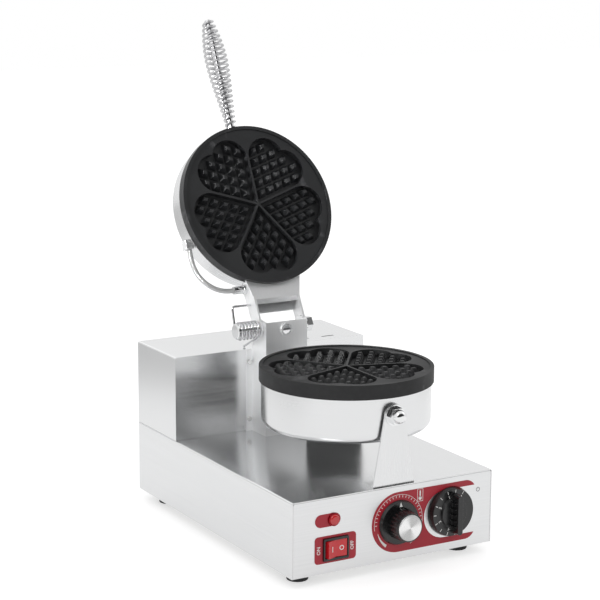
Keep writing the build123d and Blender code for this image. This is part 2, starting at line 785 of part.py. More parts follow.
def pin_plane(x):
    """A plane square to the hinge pin, facing right."""
    return Plane((x, HINGE_Y, HINGE_Z), x_dir=(0, 1, 0), z_dir=(1, 0, 0))


with BuildPart() as hinge_pin:
    with BuildSketch(pin_plane(PIN_LEFT_X)):
        Circle(PIN_R)
    extrude(amount=PIN_RIGHT_X - PIN_LEFT_X + WASHER_T + PIN_NUT_H)
    with BuildSketch(pin_plane(PIN_LEFT_X - PIN_HEAD_H)):
        Circle(PIN_HEAD_R)
    extrude(amount=PIN_HEAD_H)
    chamfer(hinge_pin.edges().sort_by(Axis.X)[0], PIN_HEAD_H / 3)
save(hinge_pin, "hinge_pin")

with BuildPart() as hinge_nut:
    with BuildSketch(pin_plane(PIN_RIGHT_X)):
        Circle(PIN_HEAD_R)
    extrude(amount=WASHER_T)
    with BuildSketch(pin_plane(PIN_RIGHT_X + WASHER_T)):
        RegularPolygon(PIN_NUT_AF / 2, 6, major_radius=False)
    extrude(amount=PIN_NUT_H + PIN_NUT_CAP)
    with BuildSketch(pin_plane(PIN_RIGHT_X)):
        Circle(PIN_R + FIT)
    extrude(amount=WASHER_T + PIN_NUT_H + FIT, mode=Mode.SUBTRACT)
save(hinge_nut, "hinge_nut")


# Hinge spring: a coil on the pin whose straight leg bears on the rear housing

COIL_WIRE_R = SPRING_WIRE / 2
LEG_RING_X = PIN_LEFT_X + RUN_GAP + COIL_WIRE_R
COIL_FROM_X = LEG_RING_X + SPRING_WIRE + RUN_GAP
COIL_TO_X = -EAR_X - RUN_GAP - ARM_T - RUN_GAP - COIL_WIRE_R


def leg_touch(end_y, end_z, way):
    """The angle at which a straight leg from the given end leaves the coil's centre circle."""
    out_y = end_y - HINGE_Y
    out_z = end_z - HINGE_Z
    return atan2(out_z, out_y) + way * acos(SPRING_R / hypot(out_y, out_z))


def turns(start_x, end_x, last_angle, count):
    """Points along turns of wire about the hinge, ending at the given angle."""
    steps = round(count * WIRE_STEPS)
    points = []
    for i in range(steps + 1):
        angle = last_angle - 2 * pi * count * (steps - i) / steps
        x = start_x + (end_x - start_x) * i / steps
        points.append((x, HINGE_Y + SPRING_R * cos(angle), HINGE_Z + SPRING_R * sin(angle)))
    return points


BASE_LEG_END = (REAR_Y + BASE_LEG_IN, REAR_TOP_Z + COIL_WIRE_R + FIT)
base_turns = turns(COIL_FROM_X, COIL_TO_X, leg_touch(*BASE_LEG_END, -1), SPRING_TURNS)
save(wound_wire([*base_turns, (COIL_TO_X, *BASE_LEG_END)], COIL_WIRE_R), "hinge_spring")


# Lid bracket: two arms to the hinge pin, a flared web with a turned lip, and a web behind

ARM_X = EAR_X + RUN_GAP + ARM_T / 2
ARM_OUTER_X = ARM_X + ARM_T / 2
WEB_DEPTH = HINGE_DEPTH - EYE_R + WEB_BEHIND_EYE
WEB_NEAR = HINGE_BACK - WEB_REACH
BAND_EDGE = PLATE_R + FIT
ARM_FOOT = SHELL_R - SHELL_CORNER - WEB_T
ARM_BACK = LID_BAND_H + ARM_H_AT_SHELL
EYE_BACK = HINGE_DEPTH + EYE_R
BACK_SLOPE = (ARM_BACK - EYE_BACK) / (HINGE_BACK - BAND_EDGE)
BACK_WEB_END = HINGE_BACK - BACK_WEB_REACH
BACK_WEB_DEPTH = EYE_BACK + BACK_SLOPE * BACK_WEB_REACH
LIP_ALONG = WEB_LIP * cos(radians(WEB_LIP_TURN))
LIP_BACK = WEB_LIP * sin(radians(WEB_LIP_TURN))

with BuildPart() as lid_bracket:
    for side in (-1, 1):
        with BuildSketch(LID_SIDE.offset(side * ARM_X)):
            with BuildLine():
                Polyline(
                    (-HINGE_BACK, -HINGE_DEPTH + EYE_R),
                    (-WEB_NEAR, -WEB_DEPTH),
                    (-BAND_EDGE, -WEB_DEPTH),
                    (-BAND_EDGE, -LID_BAND_H - FIT),
                    (-ARM_FOOT, -LID_BAND_H - FIT),
                    (-ARM_FOOT, -ARM_BACK),
                    (-BAND_EDGE, -ARM_BACK),
                    (-HINGE_BACK, -EYE_BACK),
                    close=True,
                )
            make_face()
            with Locations((-HINGE_BACK, -HINGE_DEPTH)):
                Circle(EYE_R)
        extrude(amount=ARM_T / 2, both=True)
    with BuildSketch(LID_FACE.offset(-WEB_DEPTH)):
        with BuildLine():
            Polyline(
                (-ARM_OUTER_X, -WEB_NEAR),
                (ARM_OUTER_X, -WEB_NEAR),
                (ARM_OUTER_X + WEB_FLARE, -BAND_EDGE + WEB_TOP_IN),
                (-ARM_OUTER_X - WEB_FLARE, -BAND_EDGE + WEB_TOP_IN),
                close=True,
            )
        make_face()
    extrude(amount=-WEB_T)
    with BuildSketch(LID_SIDE):
        Polygon(
            (-WEB_NEAR, -WEB_DEPTH),
            (-WEB_NEAR - LIP_ALONG, -WEB_DEPTH - LIP_BACK),
            (-WEB_NEAR - LIP_ALONG + WEB_T, -WEB_DEPTH - LIP_BACK - WEB_T),
            (-WEB_NEAR + WEB_T, -WEB_DEPTH - WEB_T),
            align=None,
        )
        Polygon(
            (-BACK_WEB_END, -BACK_WEB_DEPTH),
            (-BAND_EDGE, -ARM_BACK),
            (-ARM_FOOT, -ARM_BACK),
            (-ARM_FOOT, -ARM_BACK + WEB_T),
            (-BAND_EDGE, -ARM_BACK + WEB_T),
            (-BACK_WEB_END, -BACK_WEB_DEPTH + WEB_T),
            align=None,
        )
    extrude(amount=ARM_OUTER_X, both=True)
    with BuildSketch(LID_FACE):
        Circle(BAND_EDGE)
    extrude(amount=-LID_BAND_H - FIT, mode=Mode.SUBTRACT)
    with BuildSketch(LID_FACE.offset(-LID_BAND_H)):
        Circle(SHELL_R + FIT)
    extrude(amount=-LID_H, mode=Mode.SUBTRACT)
    with BuildSketch(LID_SIDE):
        with Locations((-HINGE_BACK, -HINGE_DEPTH)):
            Circle(PIN_R + PIN_CLEAR)
    extrude(amount=STAND_W, both=True, mode=Mode.SUBTRACT)
save(lid_bracket, "lid_bracket")

# Handle: a rod through the lid's rim, a collar and a wound wire grip

with BuildPart() as handle_rod:
    with BuildSketch(HANDLE_PLANE.offset(SHELL_R - ROD_IN)):
        Circle(ROD_R)
    extrude(amount=ROD_IN + HANDLE_L)
save(handle_rod, "handle_rod")

with BuildPart() as handle_nut:
    with BuildSketch(HANDLE_PLANE.offset(SHELL_R - ROD_IN)):
        RegularPolygon(ROD_NUT_AF / 2, 6, major_radius=False)
        Circle(ROD_R + FIT, mode=Mode.SUBTRACT)
    extrude(amount=ROD_NUT_H)
save(handle_nut, "handle_nut")

with BuildPart() as handle_ferrule:
    with BuildSketch(HANDLE_PLANE.offset(SHELL_R - SHELL_WALL)):
        Circle(FERRULE_R)
        Circle(ROD_R + FIT, mode=Mode.SUBTRACT)
    extrude(amount=FERRULE_L + SHELL_WALL)
    with BuildSketch(LID_FACE.offset(-LID_BAND_H)):
        Circle(SHELL_R + FIT)
    extrude(amount=-LID_H, mode=Mode.SUBTRACT)
save(handle_ferrule, "handle_ferrule")

COIL_FROM = SHELL_R + FERRULE_L + GRIP_WIRE_R + FIT
COIL_TO = SHELL_R + HANDLE_L - GRIP_WIRE_R
GRIP_R_END = (ROD_R + GRIP_WIRE_R + FIT) / cos(pi / WIRE_STEPS)
GRIP_R_WIDE = GRIP_R_MAX - GRIP_WIRE_R
GRIP_SKEW = log(0.5) / log(GRIP_WIDE_AT)
GRIP_TURNS = round((COIL_TO - COIL_FROM) / GRIP_PITCH)
GRIP_STEPS = GRIP_TURNS * WIRE_STEPS


def grip_point(step):
    """A point on the grip's winding, which swells from the rod and closes on it again."""
    share = step / GRIP_STEPS
    radius = GRIP_R_END + (GRIP_R_WIDE - GRIP_R_END) * sin(pi * share**GRIP_SKEW)
    angle = 2 * pi * step / WIRE_STEPS
    along = COIL_FROM + (COIL_TO - COIL_FROM) * share
    return HANDLE_PLANE.from_local_coords((radius * cos(angle), radius * sin(angle), along))


grip_points = [grip_point(step) for step in range(GRIP_STEPS + 1)]
save(wound_wire(grip_points, GRIP_WIRE_R), "handle_coil")


# Short armoured lead: an elbow on the lid's side, the lead itself and a connector on the bracket

LEAD_X = -((SHELL_R**2 - LEAD_TOP**2) ** 0.5) - LEAD_OUT
LEAD_LOW = -PLATE_R
CONNECTOR_END = -ARM_OUTER_X - CONNECTOR_L
LEAD_FACE = LID_FACE.offset(-LEAD_DEPTH)

with BuildPart() as lead_elbow:
    with BuildSketch(LEAD_FACE):
        with Locations((LEAD_X, LEAD_TOP + ELBOW / 2)):
            Rectangle(ELBOW, ELBOW)
    extrude(amount=ELBOW / 2, both=True)
    with BuildSketch(LID_FACE):
        Circle(SHELL_R + FIT)
    extrude(amount=-LID_H, mode=Mode.SUBTRACT)
    elbow_under = Plane(
        origin=LEAD_FACE.from_local_coords((LEAD_X, LEAD_TOP, 0)),
        x_dir=LID_FACE.x_dir,
        z_dir=LID_FACE.y_dir,
    )
    with BuildSketch(elbow_under):
        Circle(LEAD_R + FIT)
    extrude(amount=LEAD_IN, mode=Mode.SUBTRACT)
save(lead_elbow, "lead_elbow")

with BuildPart() as lid_lead:
    with BuildLine(LEAD_FACE) as lead_route:
        drop = Line((LEAD_X, LEAD_TOP + LEAD_IN), (LEAD_X, LEAD_LOW + LEAD_BEND_R))
        bend = TangentArc(
            drop @ 1, (LEAD_X + LEAD_BEND_R, LEAD_LOW), tangent=drop % 1
        )
        Line(bend @ 1, (CONNECTOR_END + LEAD_IN, LEAD_LOW))
    with BuildSketch(Plane(origin=lead_route.line @ 0, z_dir=lead_route.line % 0)):
        Circle(LEAD_R)
    sweep(path=lead_route.line)
save(lid_lead, "lid_lead")

CONNECTOR_FACE = Plane(
    origin=LEAD_FACE.from_local_coords((CONNECTOR_END, LEAD_LOW, 0)),
    x_dir=LID_FACE.y_dir,
    z_dir=LID_FACE.x_dir,
)

with BuildPart() as lead_connector:
    with BuildSketch(CONNECTOR_FACE):
        Circle(CONNECTOR_R)
    extrude(amount=-CONNECTOR_END - ARM_OUTER_X)
    with BuildSketch(CONNECTOR_FACE.offset(-CONNECTOR_END - ARM_OUTER_X - CONNECTOR_NUT_L)):
        RegularPolygon(CONNECTOR_NUT_AF / 2, 6, major_radius=False)
    extrude(amount=CONNECTOR_NUT_L)
    with BuildSketch(CONNECTOR_FACE):
        Circle(LEAD_R + FIT)
    extrude(amount=LEAD_IN, mode=Mode.SUBTRACT)
save(lead_connector, "lead_connector")


# Last turn of the hinge spring, whose leg turns with the lid and hooks on its left arm

hook = LID_SIDE.from_local_coords((-HINGE_BACK + HOOK_ALONG, -HINGE_DEPTH - HOOK_BEHIND, 0))
last_turn = HOOK_STEPS / WIRE_STEPS
leg_turn = turns(LEG_RING_X, LEG_RING_X, leg_touch(hook.Y, hook.Z, -1), last_turn)
hook_leg = [(LEG_RING_X, hook.Y, hook.Z), (-ARM_OUTER_X - FIT, hook.Y, hook.Z)]
save(wound_wire([*leg_turn, *hook_leg], COIL_WIRE_R), "spring_lid_leg")


# Rubber feet with their screws

FOOT_TAPER = 1.5
FOOT_RECESS_R = 6.0
FOOT_RECESS = 5.0
SCREW_HEAD_R = 4.5
SCREW_HEAD_H = 3.0

with BuildPart() as rubber_feet:
    with BuildSketch(Plane((0, BASE_Y, BOTTOM_Z))):
        with GridLocations(2 * FOOT_X, 2 * FOOT_Y, 2, 2):
            Circle(FOOT_R)
    extrude(amount=-FOOT_H, taper=degrees(atan2(FOOT_TAPER, FOOT_H)))
    with BuildSketch(Plane((0, BASE_Y, 0))):
        with GridLocations(2 * FOOT_X, 2 * FOOT_Y, 2, 2):
            Circle(FOOT_RECESS_R)
    extrude(amount=FOOT_RECESS, mode=Mode.SUBTRACT)
    with BuildSketch(Plane((0, BASE_Y, 0))):
        with GridLocations(2 * FOOT_X, 2 * FOOT_Y, 2, 2):
            Circle(FOOT_SCREW_R + FIT)
    extrude(amount=FOOT_H, mode=Mode.SUBTRACT)
save(rubber_feet, "rubber_feet")

with BuildPart() as foot_screws:
    with BuildSketch(Plane((0, BASE_Y, FOOT_RECESS))):
        with GridLocations(2 * FOOT_X, 2 * FOOT_Y, 2, 2):
            Circle(SCREW_HEAD_R)
    extrude(amount=-SCREW_HEAD_H)
    with BuildSketch(Plane((0, BASE_Y, FOOT_RECESS))):
        with GridLocations(2 * FOOT_X, 2 * FOOT_Y, 2, 2):
            Circle(FOOT_SCREW_R)
    extrude(amount=FOOT_H - FOOT_RECESS + 4 * SHEET)
save(foot_screws, "foot_screws")


# Screws of the hinge stand's flanges and of the front bracket's foot


def small_screws(face, grid, grip):
    """Pan-head screws in a grid, their heads on the given face."""
    with BuildPart() as screws:
        with BuildSketch(face):
            with GridLocations(*grid):
                Circle(SMALL_HEAD_R)
        extrude(amount=SMALL_HEAD_H)
        chamfer(screws.edges().group_by(axis_of(face))[-1], SMALL_HEAD_H / 3)
        with BuildSketch(face):
            with GridLocations(*grid):
                Circle(SMALL_SCREW_R)
        extrude(amount=-grip)
    return screws


save(small_screws(FLANGE_FACE, FLANGE_SCREW_GRID, STAND_SHEET + SCREW_GRIP), "stand_screws")
save(small_screws(BRACKET_FOOT_FACE, BRACKET_SCREW_GRID, BRACKET_T + SCREW_GRIP), "bracket_screws")


# Printed overlays on the front panel. The large one has round ends and leaves the timer's field
# bare, so that it tapers to two points beside the timer.

SWITCH_OVERLAY_W = 50.0
SWITCH_OVERLAY_H = 29.5
SWITCH_OVERLAY_CORNER = 4.0
LAMP_OVERLAY_L = 30.5
LAMP_OVERLAY_H = 14.0
LAMP_OVERLAY_SHIFT = -7.0
FIELD_X = TIMER_X - TIMER_FIELD_SHIFT

with BuildPart() as control_overlay:
    with BuildSketch(FRONT):
        with Locations((DIAL_X, DIAL_Z)):
            Circle(OVERLAY_R)
        with Locations(((DIAL_X + OVERLAY_RIGHT) / 2, DIAL_Z)):
            Rectangle(OVERLAY_RIGHT - DIAL_X, 2 * OVERLAY_R)
        fillet(vertices().group_by(Axis.X)[-1], OVERLAY_CORNER)
        with Locations((FIELD_X, DIAL_Z)):
            Circle(TIMER_FIELD_R, mode=Mode.SUBTRACT)
        with Locations(((FIELD_X + OVERLAY_RIGHT) / 2, DIAL_Z)):
            Rectangle(OVERLAY_RIGHT - FIELD_X, 2 * TIMER_FIELD_R, mode=Mode.SUBTRACT)
        with Locations((DIAL_X, DIAL_Z)):
            Circle(BUSH_HOLE_R, mode=Mode.SUBTRACT)
    extrude(amount=OVERLAY_T)
save(control_overlay, "control_overlay")

with BuildPart() as switch_overlay:
    with BuildSketch(FRONT):
        with Locations((SWITCH_X, SWITCH_Z)):
            RectangleRounded(SWITCH_OVERLAY_W, SWITCH_OVERLAY_H, SWITCH_OVERLAY_CORNER)
            Rectangle(
                SWITCH_BODY_W + 2 * PANEL_GAP,
                SWITCH_BODY_H + 2 * PANEL_GAP,
                mode=Mode.SUBTRACT,
            )
    extrude(amount=OVERLAY_T)
save(switch_overlay, "switch_overlay")

with BuildPart() as lamp_overlay:
    with BuildSketch(FRONT):
        with Locations((LAMP_X + LAMP_OVERLAY_SHIFT, LAMP_Z)):
            SlotOverall(LAMP_OVERLAY_L, LAMP_OVERLAY_H)
        with Locations((LAMP_X, LAMP_Z)):
            Circle(LAMP_BARREL_R + PANEL_GAP, mode=Mode.SUBTRACT)
    extrude(amount=OVERLAY_T)
save(lamp_overlay, "lamp_overlay")


# Thermostat and timer behind the panel, each with a threaded bush and a nut in front

THERMOSTAT_W = 36.0
THERMOSTAT_D = 24.0
TIMER_BODY_R = 23.0
TIMER_BODY_D = 32.0


def control_body(x, z, outline, depth):
    """A control behind the panel with its bush through the panel and a blind shaft bore."""
    back = FRONT.offset(-SHEET)
    with BuildPart() as body:
        with BuildSketch(back):
            with Locations((x, z)):
                outline()
        extrude(amount=-depth)
        with BuildSketch(back):
            with Locations((x, z)):
                Circle(BUSH_R)
        extrude(amount=SHEET + BUSH_L)
        with BuildSketch(FRONT):
            with Locations((x, z)):
                RegularPolygon(BUSH_NUT_AF / 2, 6, major_radius=False)
                Circle(BUSH_R, mode=Mode.SUBTRACT)
        extrude(amount=BUSH_NUT_H)
        with BuildSketch(FRONT.offset(BUSH_L)):
            with Locations((x, z)):
                Circle(SHAFT_R + PIN_CLEAR)
        extrude(amount=-BUSH_L - SHAFT_IN, mode=Mode.SUBTRACT)
    return body


save(
    control_body(
        DIAL_X, DIAL_Z, lambda: Rectangle(THERMOSTAT_W, THERMOSTAT_W), THERMOSTAT_D
    ),
    "thermostat_body",
)
save(control_body(TIMER_X, TIMER_Z, lambda: Circle(TIMER_BODY_R), TIMER_BODY_D), "timer_body")


def control_shaft(x, z, proud):
    """A turning shaft from inside the control to inside its knob."""
    with BuildPart() as shaft:
        with BuildSketch(FRONT.offset(RUN_GAP - SHAFT_IN)):
            with Locations((x, z)):
                Circle(SHAFT_R)
        extrude(amount=SHAFT_IN - RUN_GAP + proud)
    return shaft


save(control_shaft(DIAL_X, DIAL_Z, SHAFT_PROUD), "thermostat_shaft")
save(control_shaft(TIMER_X, TIMER_Z, SHAFT_PROUD), "timer_shaft")


# Thermostat knob: a skirt, a fluted grip and a spun metal cap

SKIRT_T = 3.5
SKIRT_TAPER = 25.0
GRIP_R = 17.5
GRIP_TAPER = 5.0
FLUTES = 24
FLUTE_R = 1.2
CAP_R = 14.2
CAP_T = 1.4
KNOB_HOLLOW_R = 11.0

with BuildPart() as thermostat_knob:
    with BuildSketch(FRONT.offset(KNOB_GAP + OVERLAY_T)):
        with Locations((DIAL_X, DIAL_Z)):
            Circle(DIAL_R)
    extrude(amount=SKIRT_T, taper=SKIRT_TAPER)
    with BuildSketch(FRONT.offset(KNOB_GAP + OVERLAY_T)):
        with Locations((DIAL_X, DIAL_Z)):
            Circle(GRIP_R)
    extrude(amount=DIAL_PROUD - CAP_T - KNOB_GAP - OVERLAY_T, taper=GRIP_TAPER)
    with BuildSketch(FRONT.offset(KNOB_GAP + OVERLAY_T + SKIRT_T)):
        with Locations((DIAL_X, DIAL_Z)):
            with PolarLocations(GRIP_R, FLUTES):
                Circle(FLUTE_R)
    extrude(amount=DIAL_PROUD, taper=-GRIP_TAPER / 2, mode=Mode.SUBTRACT)
    with BuildSketch(FRONT):
        with Locations((DIAL_X, DIAL_Z)):
            Circle(KNOB_HOLLOW_R)
    extrude(amount=BUSH_L + RUN_GAP + KNOB_GAP, mode=Mode.SUBTRACT)
    with BuildSketch(FRONT):
        with Locations((DIAL_X, DIAL_Z)):
            Circle(SHAFT_R + FIT)
    extrude(amount=SHAFT_PROUD + FIT, mode=Mode.SUBTRACT)
save(thermostat_knob, "thermostat_knob")

with BuildPart() as thermostat_cap:
    with BuildSketch(FRONT.offset(DIAL_PROUD - CAP_T)):
        with Locations((DIAL_X, DIAL_Z)):
            Circle(CAP_R)
    extrude(amount=CAP_T)
    chamfer(thermostat_cap.edges().group_by(Axis.Y)[0], CAP_T / 2)
save(thermostat_cap, "thermostat_cap")


# Timer knob: a wide skirt with a raised bar across it

BAR_W = 9.0
BAR_L = 46.0
BAR_TAPER = 4.0
BAR_RIBS = 5
BAR_RIB_PITCH = 6.5
BAR_RIB_W = 2.0
BAR_RIB_OUT = 1.6
BAR_RIB_BELOW = 2.5
TIMER_SKIRT_T = 6.0
TIMER_SKIRT_TAPER = 15.0
TIMER_HUB_R = 19.0
TIMER_HUB_RISE = 3.0
TIMER_HUB_TAPER = 20.0
BAR_RISE = TIMER_PROUD - KNOB_GAP - OVERLAY_T

with BuildPart() as timer_knob:
    with BuildSketch(FRONT.offset(KNOB_GAP + OVERLAY_T)):
        with Locations((TIMER_X, TIMER_Z)):
            Circle(TIMER_R)
    extrude(amount=TIMER_SKIRT_T, taper=TIMER_SKIRT_TAPER)
    with BuildSketch(FRONT.offset(KNOB_GAP + OVERLAY_T)):
        with Locations((TIMER_X, TIMER_Z)):
            SlotOverall(BAR_L, BAR_W, rotation=90)
    extrude(amount=BAR_RISE, taper=BAR_TAPER)
    with BuildSketch(FRONT.offset(KNOB_GAP + OVERLAY_T)):
        with Locations((TIMER_X, TIMER_Z)):
            with GridLocations(0, BAR_RIB_PITCH, 1, BAR_RIBS):
                Rectangle(BAR_W + 2 * BAR_RIB_OUT, BAR_RIB_W)
    extrude(amount=BAR_RISE - BAR_RIB_BELOW, taper=BAR_TAPER / 2)
    with BuildSketch(FRONT.offset(KNOB_GAP + OVERLAY_T)):
        with Locations((TIMER_X, TIMER_Z)):
            Circle(TIMER_HUB_R)
    extrude(amount=TIMER_SKIRT_T + TIMER_HUB_RISE, taper=TIMER_HUB_TAPER)
    with BuildSketch(FRONT):
        with Locations((TIMER_X, TIMER_Z)):
            Circle(KNOB_HOLLOW_R)
    extrude(amount=BUSH_L + RUN_GAP, mode=Mode.SUBTRACT)
    with BuildSketch(FRONT):
        with Locations((TIMER_X, TIMER_Z)):
            Circle(SHAFT_R + FIT)
    extrude(amount=SHAFT_PROUD + FIT, mode=Mode.SUBTRACT)
save(timer_knob, "timer_knob")


# Rocker switch: a snap-in housing and a rocker that tips left and right

SWITCH_BEZEL = 2.2
SWITCH_BODY_D = 22.0
ROCKER_W = 24.0
ROCKER_H = 18.4
ROCKER_RISE = 2.6
ROCKER_DIP = 1.2
ROCKER_BACK = 5.0
WELL_W = ROCKER_W + 3.0
WELL_H = ROCKER_H + 2 * RUN_GAP
WELL_D = 12.0
PIVOT_R = 1.5
PIVOT_DEPTH = 3.0
TRUNNION = 1.2

with BuildPart() as switch_housing:
    with BuildSketch(FRONT.offset(OVERLAY_T)):
        with Locations((SWITCH_X, SWITCH_Z)):
            RectangleRounded(SWITCH_W, SWITCH_H, 1.5)
    extrude(amount=SWITCH_BEZEL, taper=10)
    with BuildSketch(FRONT.offset(OVERLAY_T)):
        with Locations((SWITCH_X, SWITCH_Z)):
            Rectangle(SWITCH_BODY_W, SWITCH_BODY_H)
    extrude(amount=-SWITCH_BODY_D)
    with BuildSketch(FRONT.offset(OVERLAY_T + SWITCH_BEZEL)):
        with Locations((SWITCH_X, SWITCH_Z)):
            Rectangle(WELL_W, WELL_H)
    extrude(amount=-WELL_D, mode=Mode.SUBTRACT)
    with BuildSketch(Plane((SWITCH_X, FRONT_Y + PIVOT_DEPTH, BOTTOM_Z + SWITCH_Z))):
        Circle(PIVOT_R + FIT)
    extrude(amount=ROCKER_H / 2 + TRUNNION + RUN_GAP, both=True, mode=Mode.SUBTRACT)
save(switch_housing, "switch_housing")

ROCKER_PLANE = Plane(
    (SWITCH_X, FRONT_Y + PIVOT_DEPTH, BOTTOM_Z + SWITCH_Z - ROCKER_H / 2)
).rotated((0, 0, SWITCH_TILT))
ROCKER_FRONT = -PIVOT_DEPTH - OVERLAY_T - SWITCH_BEZEL

with BuildPart() as switch_rocker:
    with BuildSketch(ROCKER_PLANE):
        Polygon(
            (-ROCKER_W / 2, ROCKER_FRONT - ROCKER_RISE / 2),
            (0, ROCKER_FRONT + ROCKER_DIP),
            (ROCKER_W / 2, ROCKER_FRONT - ROCKER_RISE / 2),
            (ROCKER_W / 2, 0),
            (0, ROCKER_BACK),
            (-ROCKER_W / 2, 0),
            align=None,
        )
    extrude(amount=ROCKER_H)
    with BuildSketch(ROCKER_PLANE.offset(-TRUNNION)):
        Circle(PIVOT_R)
    extrude(amount=ROCKER_H + 2 * TRUNNION)
save(switch_rocker, "switch_rocker")


# Indicator lamp: a barrel with a bezel, and a domed lens

LENS_R = 5.8
LENS_H = 3.2
LAMP_BEZEL_H = 2.0
LAMP_BARREL_L = 22.0

with BuildPart() as lamp_body:
    with BuildSketch(FRONT.offset(OVERLAY_T)):
        with Locations((LAMP_X, LAMP_Z)):
            Circle(LAMP_R)
    extrude(amount=LAMP_BEZEL_H, taper=12)
    with BuildSketch(FRONT.offset(OVERLAY_T)):
        with Locations((LAMP_X, LAMP_Z)):
            Circle(LAMP_BARREL_R)
    extrude(amount=-LAMP_BARREL_L)
    with BuildSketch(FRONT.offset(OVERLAY_T + LAMP_BEZEL_H)):
        with Locations((LAMP_X, LAMP_Z)):
            Circle(LENS_R)
    extrude(amount=-LAMP_BEZEL_H / 2, mode=Mode.SUBTRACT)
save(lamp_body, "lamp_body")

with BuildPart() as lamp_lens:
    with BuildSketch(FRONT.offset(OVERLAY_T + LAMP_BEZEL_H / 2)):
        with Locations((LAMP_X, LAMP_Z)):
            Circle(LENS_R)
    extrude(amount=LENS_H)
    fillet(lamp_lens.edges().group_by(Axis.Y)[0], LENS_H - 0.6)
save(lamp_lens, "lamp_lens")


# Mains terminal block on the deck inside the rear housing

TERMINAL_W = 54.0
TERMINAL_D = 20.0
TERMINAL_H = 18.0
TERMINAL_WAYS = 4
TERMINAL_HOLE_R = 3.0
TERMINAL_INSET = 52.5
TERMINAL_FROM_BACK = 32.0
TERMINAL_X = TERMINAL_INSET - BASE_W / 2
TERMINAL_Y = BACK_Y - TERMINAL_FROM_BACK

with BuildPart() as terminal_block:
    with BuildSketch(Plane((TERMINAL_X, TERMINAL_Y, DECK_Z))):
        Rectangle(TERMINAL_W, TERMINAL_D)
    extrude(amount=TERMINAL_H)
    with BuildSketch(Plane((TERMINAL_X, TERMINAL_Y, DECK_Z + TERMINAL_H))):
        with GridLocations(TERMINAL_W / TERMINAL_WAYS, TERMINAL_D / 2, TERMINAL_WAYS, 2):
            Circle(TERMINAL_HOLE_R)
    extrude(amount=-TERMINAL_H / 2, mode=Mode.SUBTRACT)
save(terminal_block, "terminal_block")


# Cable gland in the base's back, with its locknut inside

with BuildPart() as cable_gland:
    with BuildSketch(GLAND_FACE):
        RegularPolygon(GLAND_HEX_AF / 2, 6, major_radius=False)
    extrude(amount=GLAND_HEX_L)
    with BuildSketch(GLAND_FACE.offset(GLAND_HEX_L)):
        Circle(GLAND_DOME_R)
    extrude(amount=GLAND_DOME_L)
    fillet(cable_gland.edges().group_by(Axis.Y)[-1], GLAND_DOME_ROUND)
    with BuildSketch(GLAND_FACE):
        Circle(GLAND_BARREL_R)
    extrude(amount=-SHEET - GLAND_IN)
    with BuildSketch(GLAND_FACE.offset(-SHEET)):
        RegularPolygon(GLAND_HEX_AF / 2, 6, major_radius=False)
    extrude(amount=-GLAND_NUT_L)
    with BuildSketch(GLAND_FACE.offset(GLAND_HEX_L + GLAND_DOME_L)):
        Circle(GLAND_BORE_R)
    extrude(amount=-GLAND_HEX_L - GLAND_DOME_L - SHEET - GLAND_IN, mode=Mode.SUBTRACT)
save(cable_gland, "cable_gland")
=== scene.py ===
"""Finishes, wound wire, printing and studio for a counter-top waffle maker with a hinged lid."""

import json
import logging
import math
from collections.abc import Iterable, Sequence
from dataclasses import dataclass, field
from enum import Enum

import bmesh
import bpy
from mathutils import Matrix, Vector


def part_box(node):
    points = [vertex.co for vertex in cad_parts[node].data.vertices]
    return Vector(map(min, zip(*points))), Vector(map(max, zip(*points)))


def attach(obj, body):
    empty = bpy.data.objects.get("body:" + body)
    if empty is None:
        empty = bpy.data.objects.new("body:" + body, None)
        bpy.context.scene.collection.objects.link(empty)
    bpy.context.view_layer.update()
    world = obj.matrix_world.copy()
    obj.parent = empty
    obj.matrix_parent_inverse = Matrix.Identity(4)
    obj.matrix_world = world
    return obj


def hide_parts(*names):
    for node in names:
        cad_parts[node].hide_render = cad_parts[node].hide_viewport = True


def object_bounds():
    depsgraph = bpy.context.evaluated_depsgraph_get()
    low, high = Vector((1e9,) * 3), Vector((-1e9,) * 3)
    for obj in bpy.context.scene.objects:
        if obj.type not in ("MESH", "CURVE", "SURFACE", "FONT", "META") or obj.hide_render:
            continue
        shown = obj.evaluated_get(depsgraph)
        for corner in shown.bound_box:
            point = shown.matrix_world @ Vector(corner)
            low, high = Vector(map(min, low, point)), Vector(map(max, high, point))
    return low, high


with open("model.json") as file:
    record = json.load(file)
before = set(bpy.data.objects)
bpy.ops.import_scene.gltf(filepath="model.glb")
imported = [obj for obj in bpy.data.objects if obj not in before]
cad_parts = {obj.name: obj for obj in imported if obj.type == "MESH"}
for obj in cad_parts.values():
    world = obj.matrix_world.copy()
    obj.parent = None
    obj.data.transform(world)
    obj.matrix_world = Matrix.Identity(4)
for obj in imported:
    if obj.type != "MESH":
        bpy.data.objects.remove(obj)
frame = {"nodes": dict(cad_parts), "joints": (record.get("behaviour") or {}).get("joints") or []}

Colour = tuple[float, float, float, float]
Point = tuple[float, float]
Span = tuple[float, float]
Node = bpy.types.Node
Socket = bpy.types.NodeSocket
NodeGroup = bpy.types.NodeTree
Material = bpy.types.Material
Mesh = bpy.types.Mesh
Piece = bpy.types.Object

LOG = logging.getLogger("waffle_maker")
MM = 0.001
CAD_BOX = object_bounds()
WHITE = (1.0, 1.0, 1.0, 1.0)
RED_INK = (0.40, 0.013, 0.028, 1.0)
WHITE_INK = (0.86, 0.86, 0.84, 1.0)
CRISP_ANGLE = 35.0
SAME_POINT = 0.002 * MM
LETTER_DEPTH = 0.03 * MM
LETTER_WEIGHT = 0.09 * MM


class Body(Enum):
    """The bodies of the frame that pieces ride on."""

    BASE = "base"
    LID = "lid"
    THERMOSTAT = "thermostat_dial"
    TIMER = "timer_dial"
    ROCKER = "rocker"


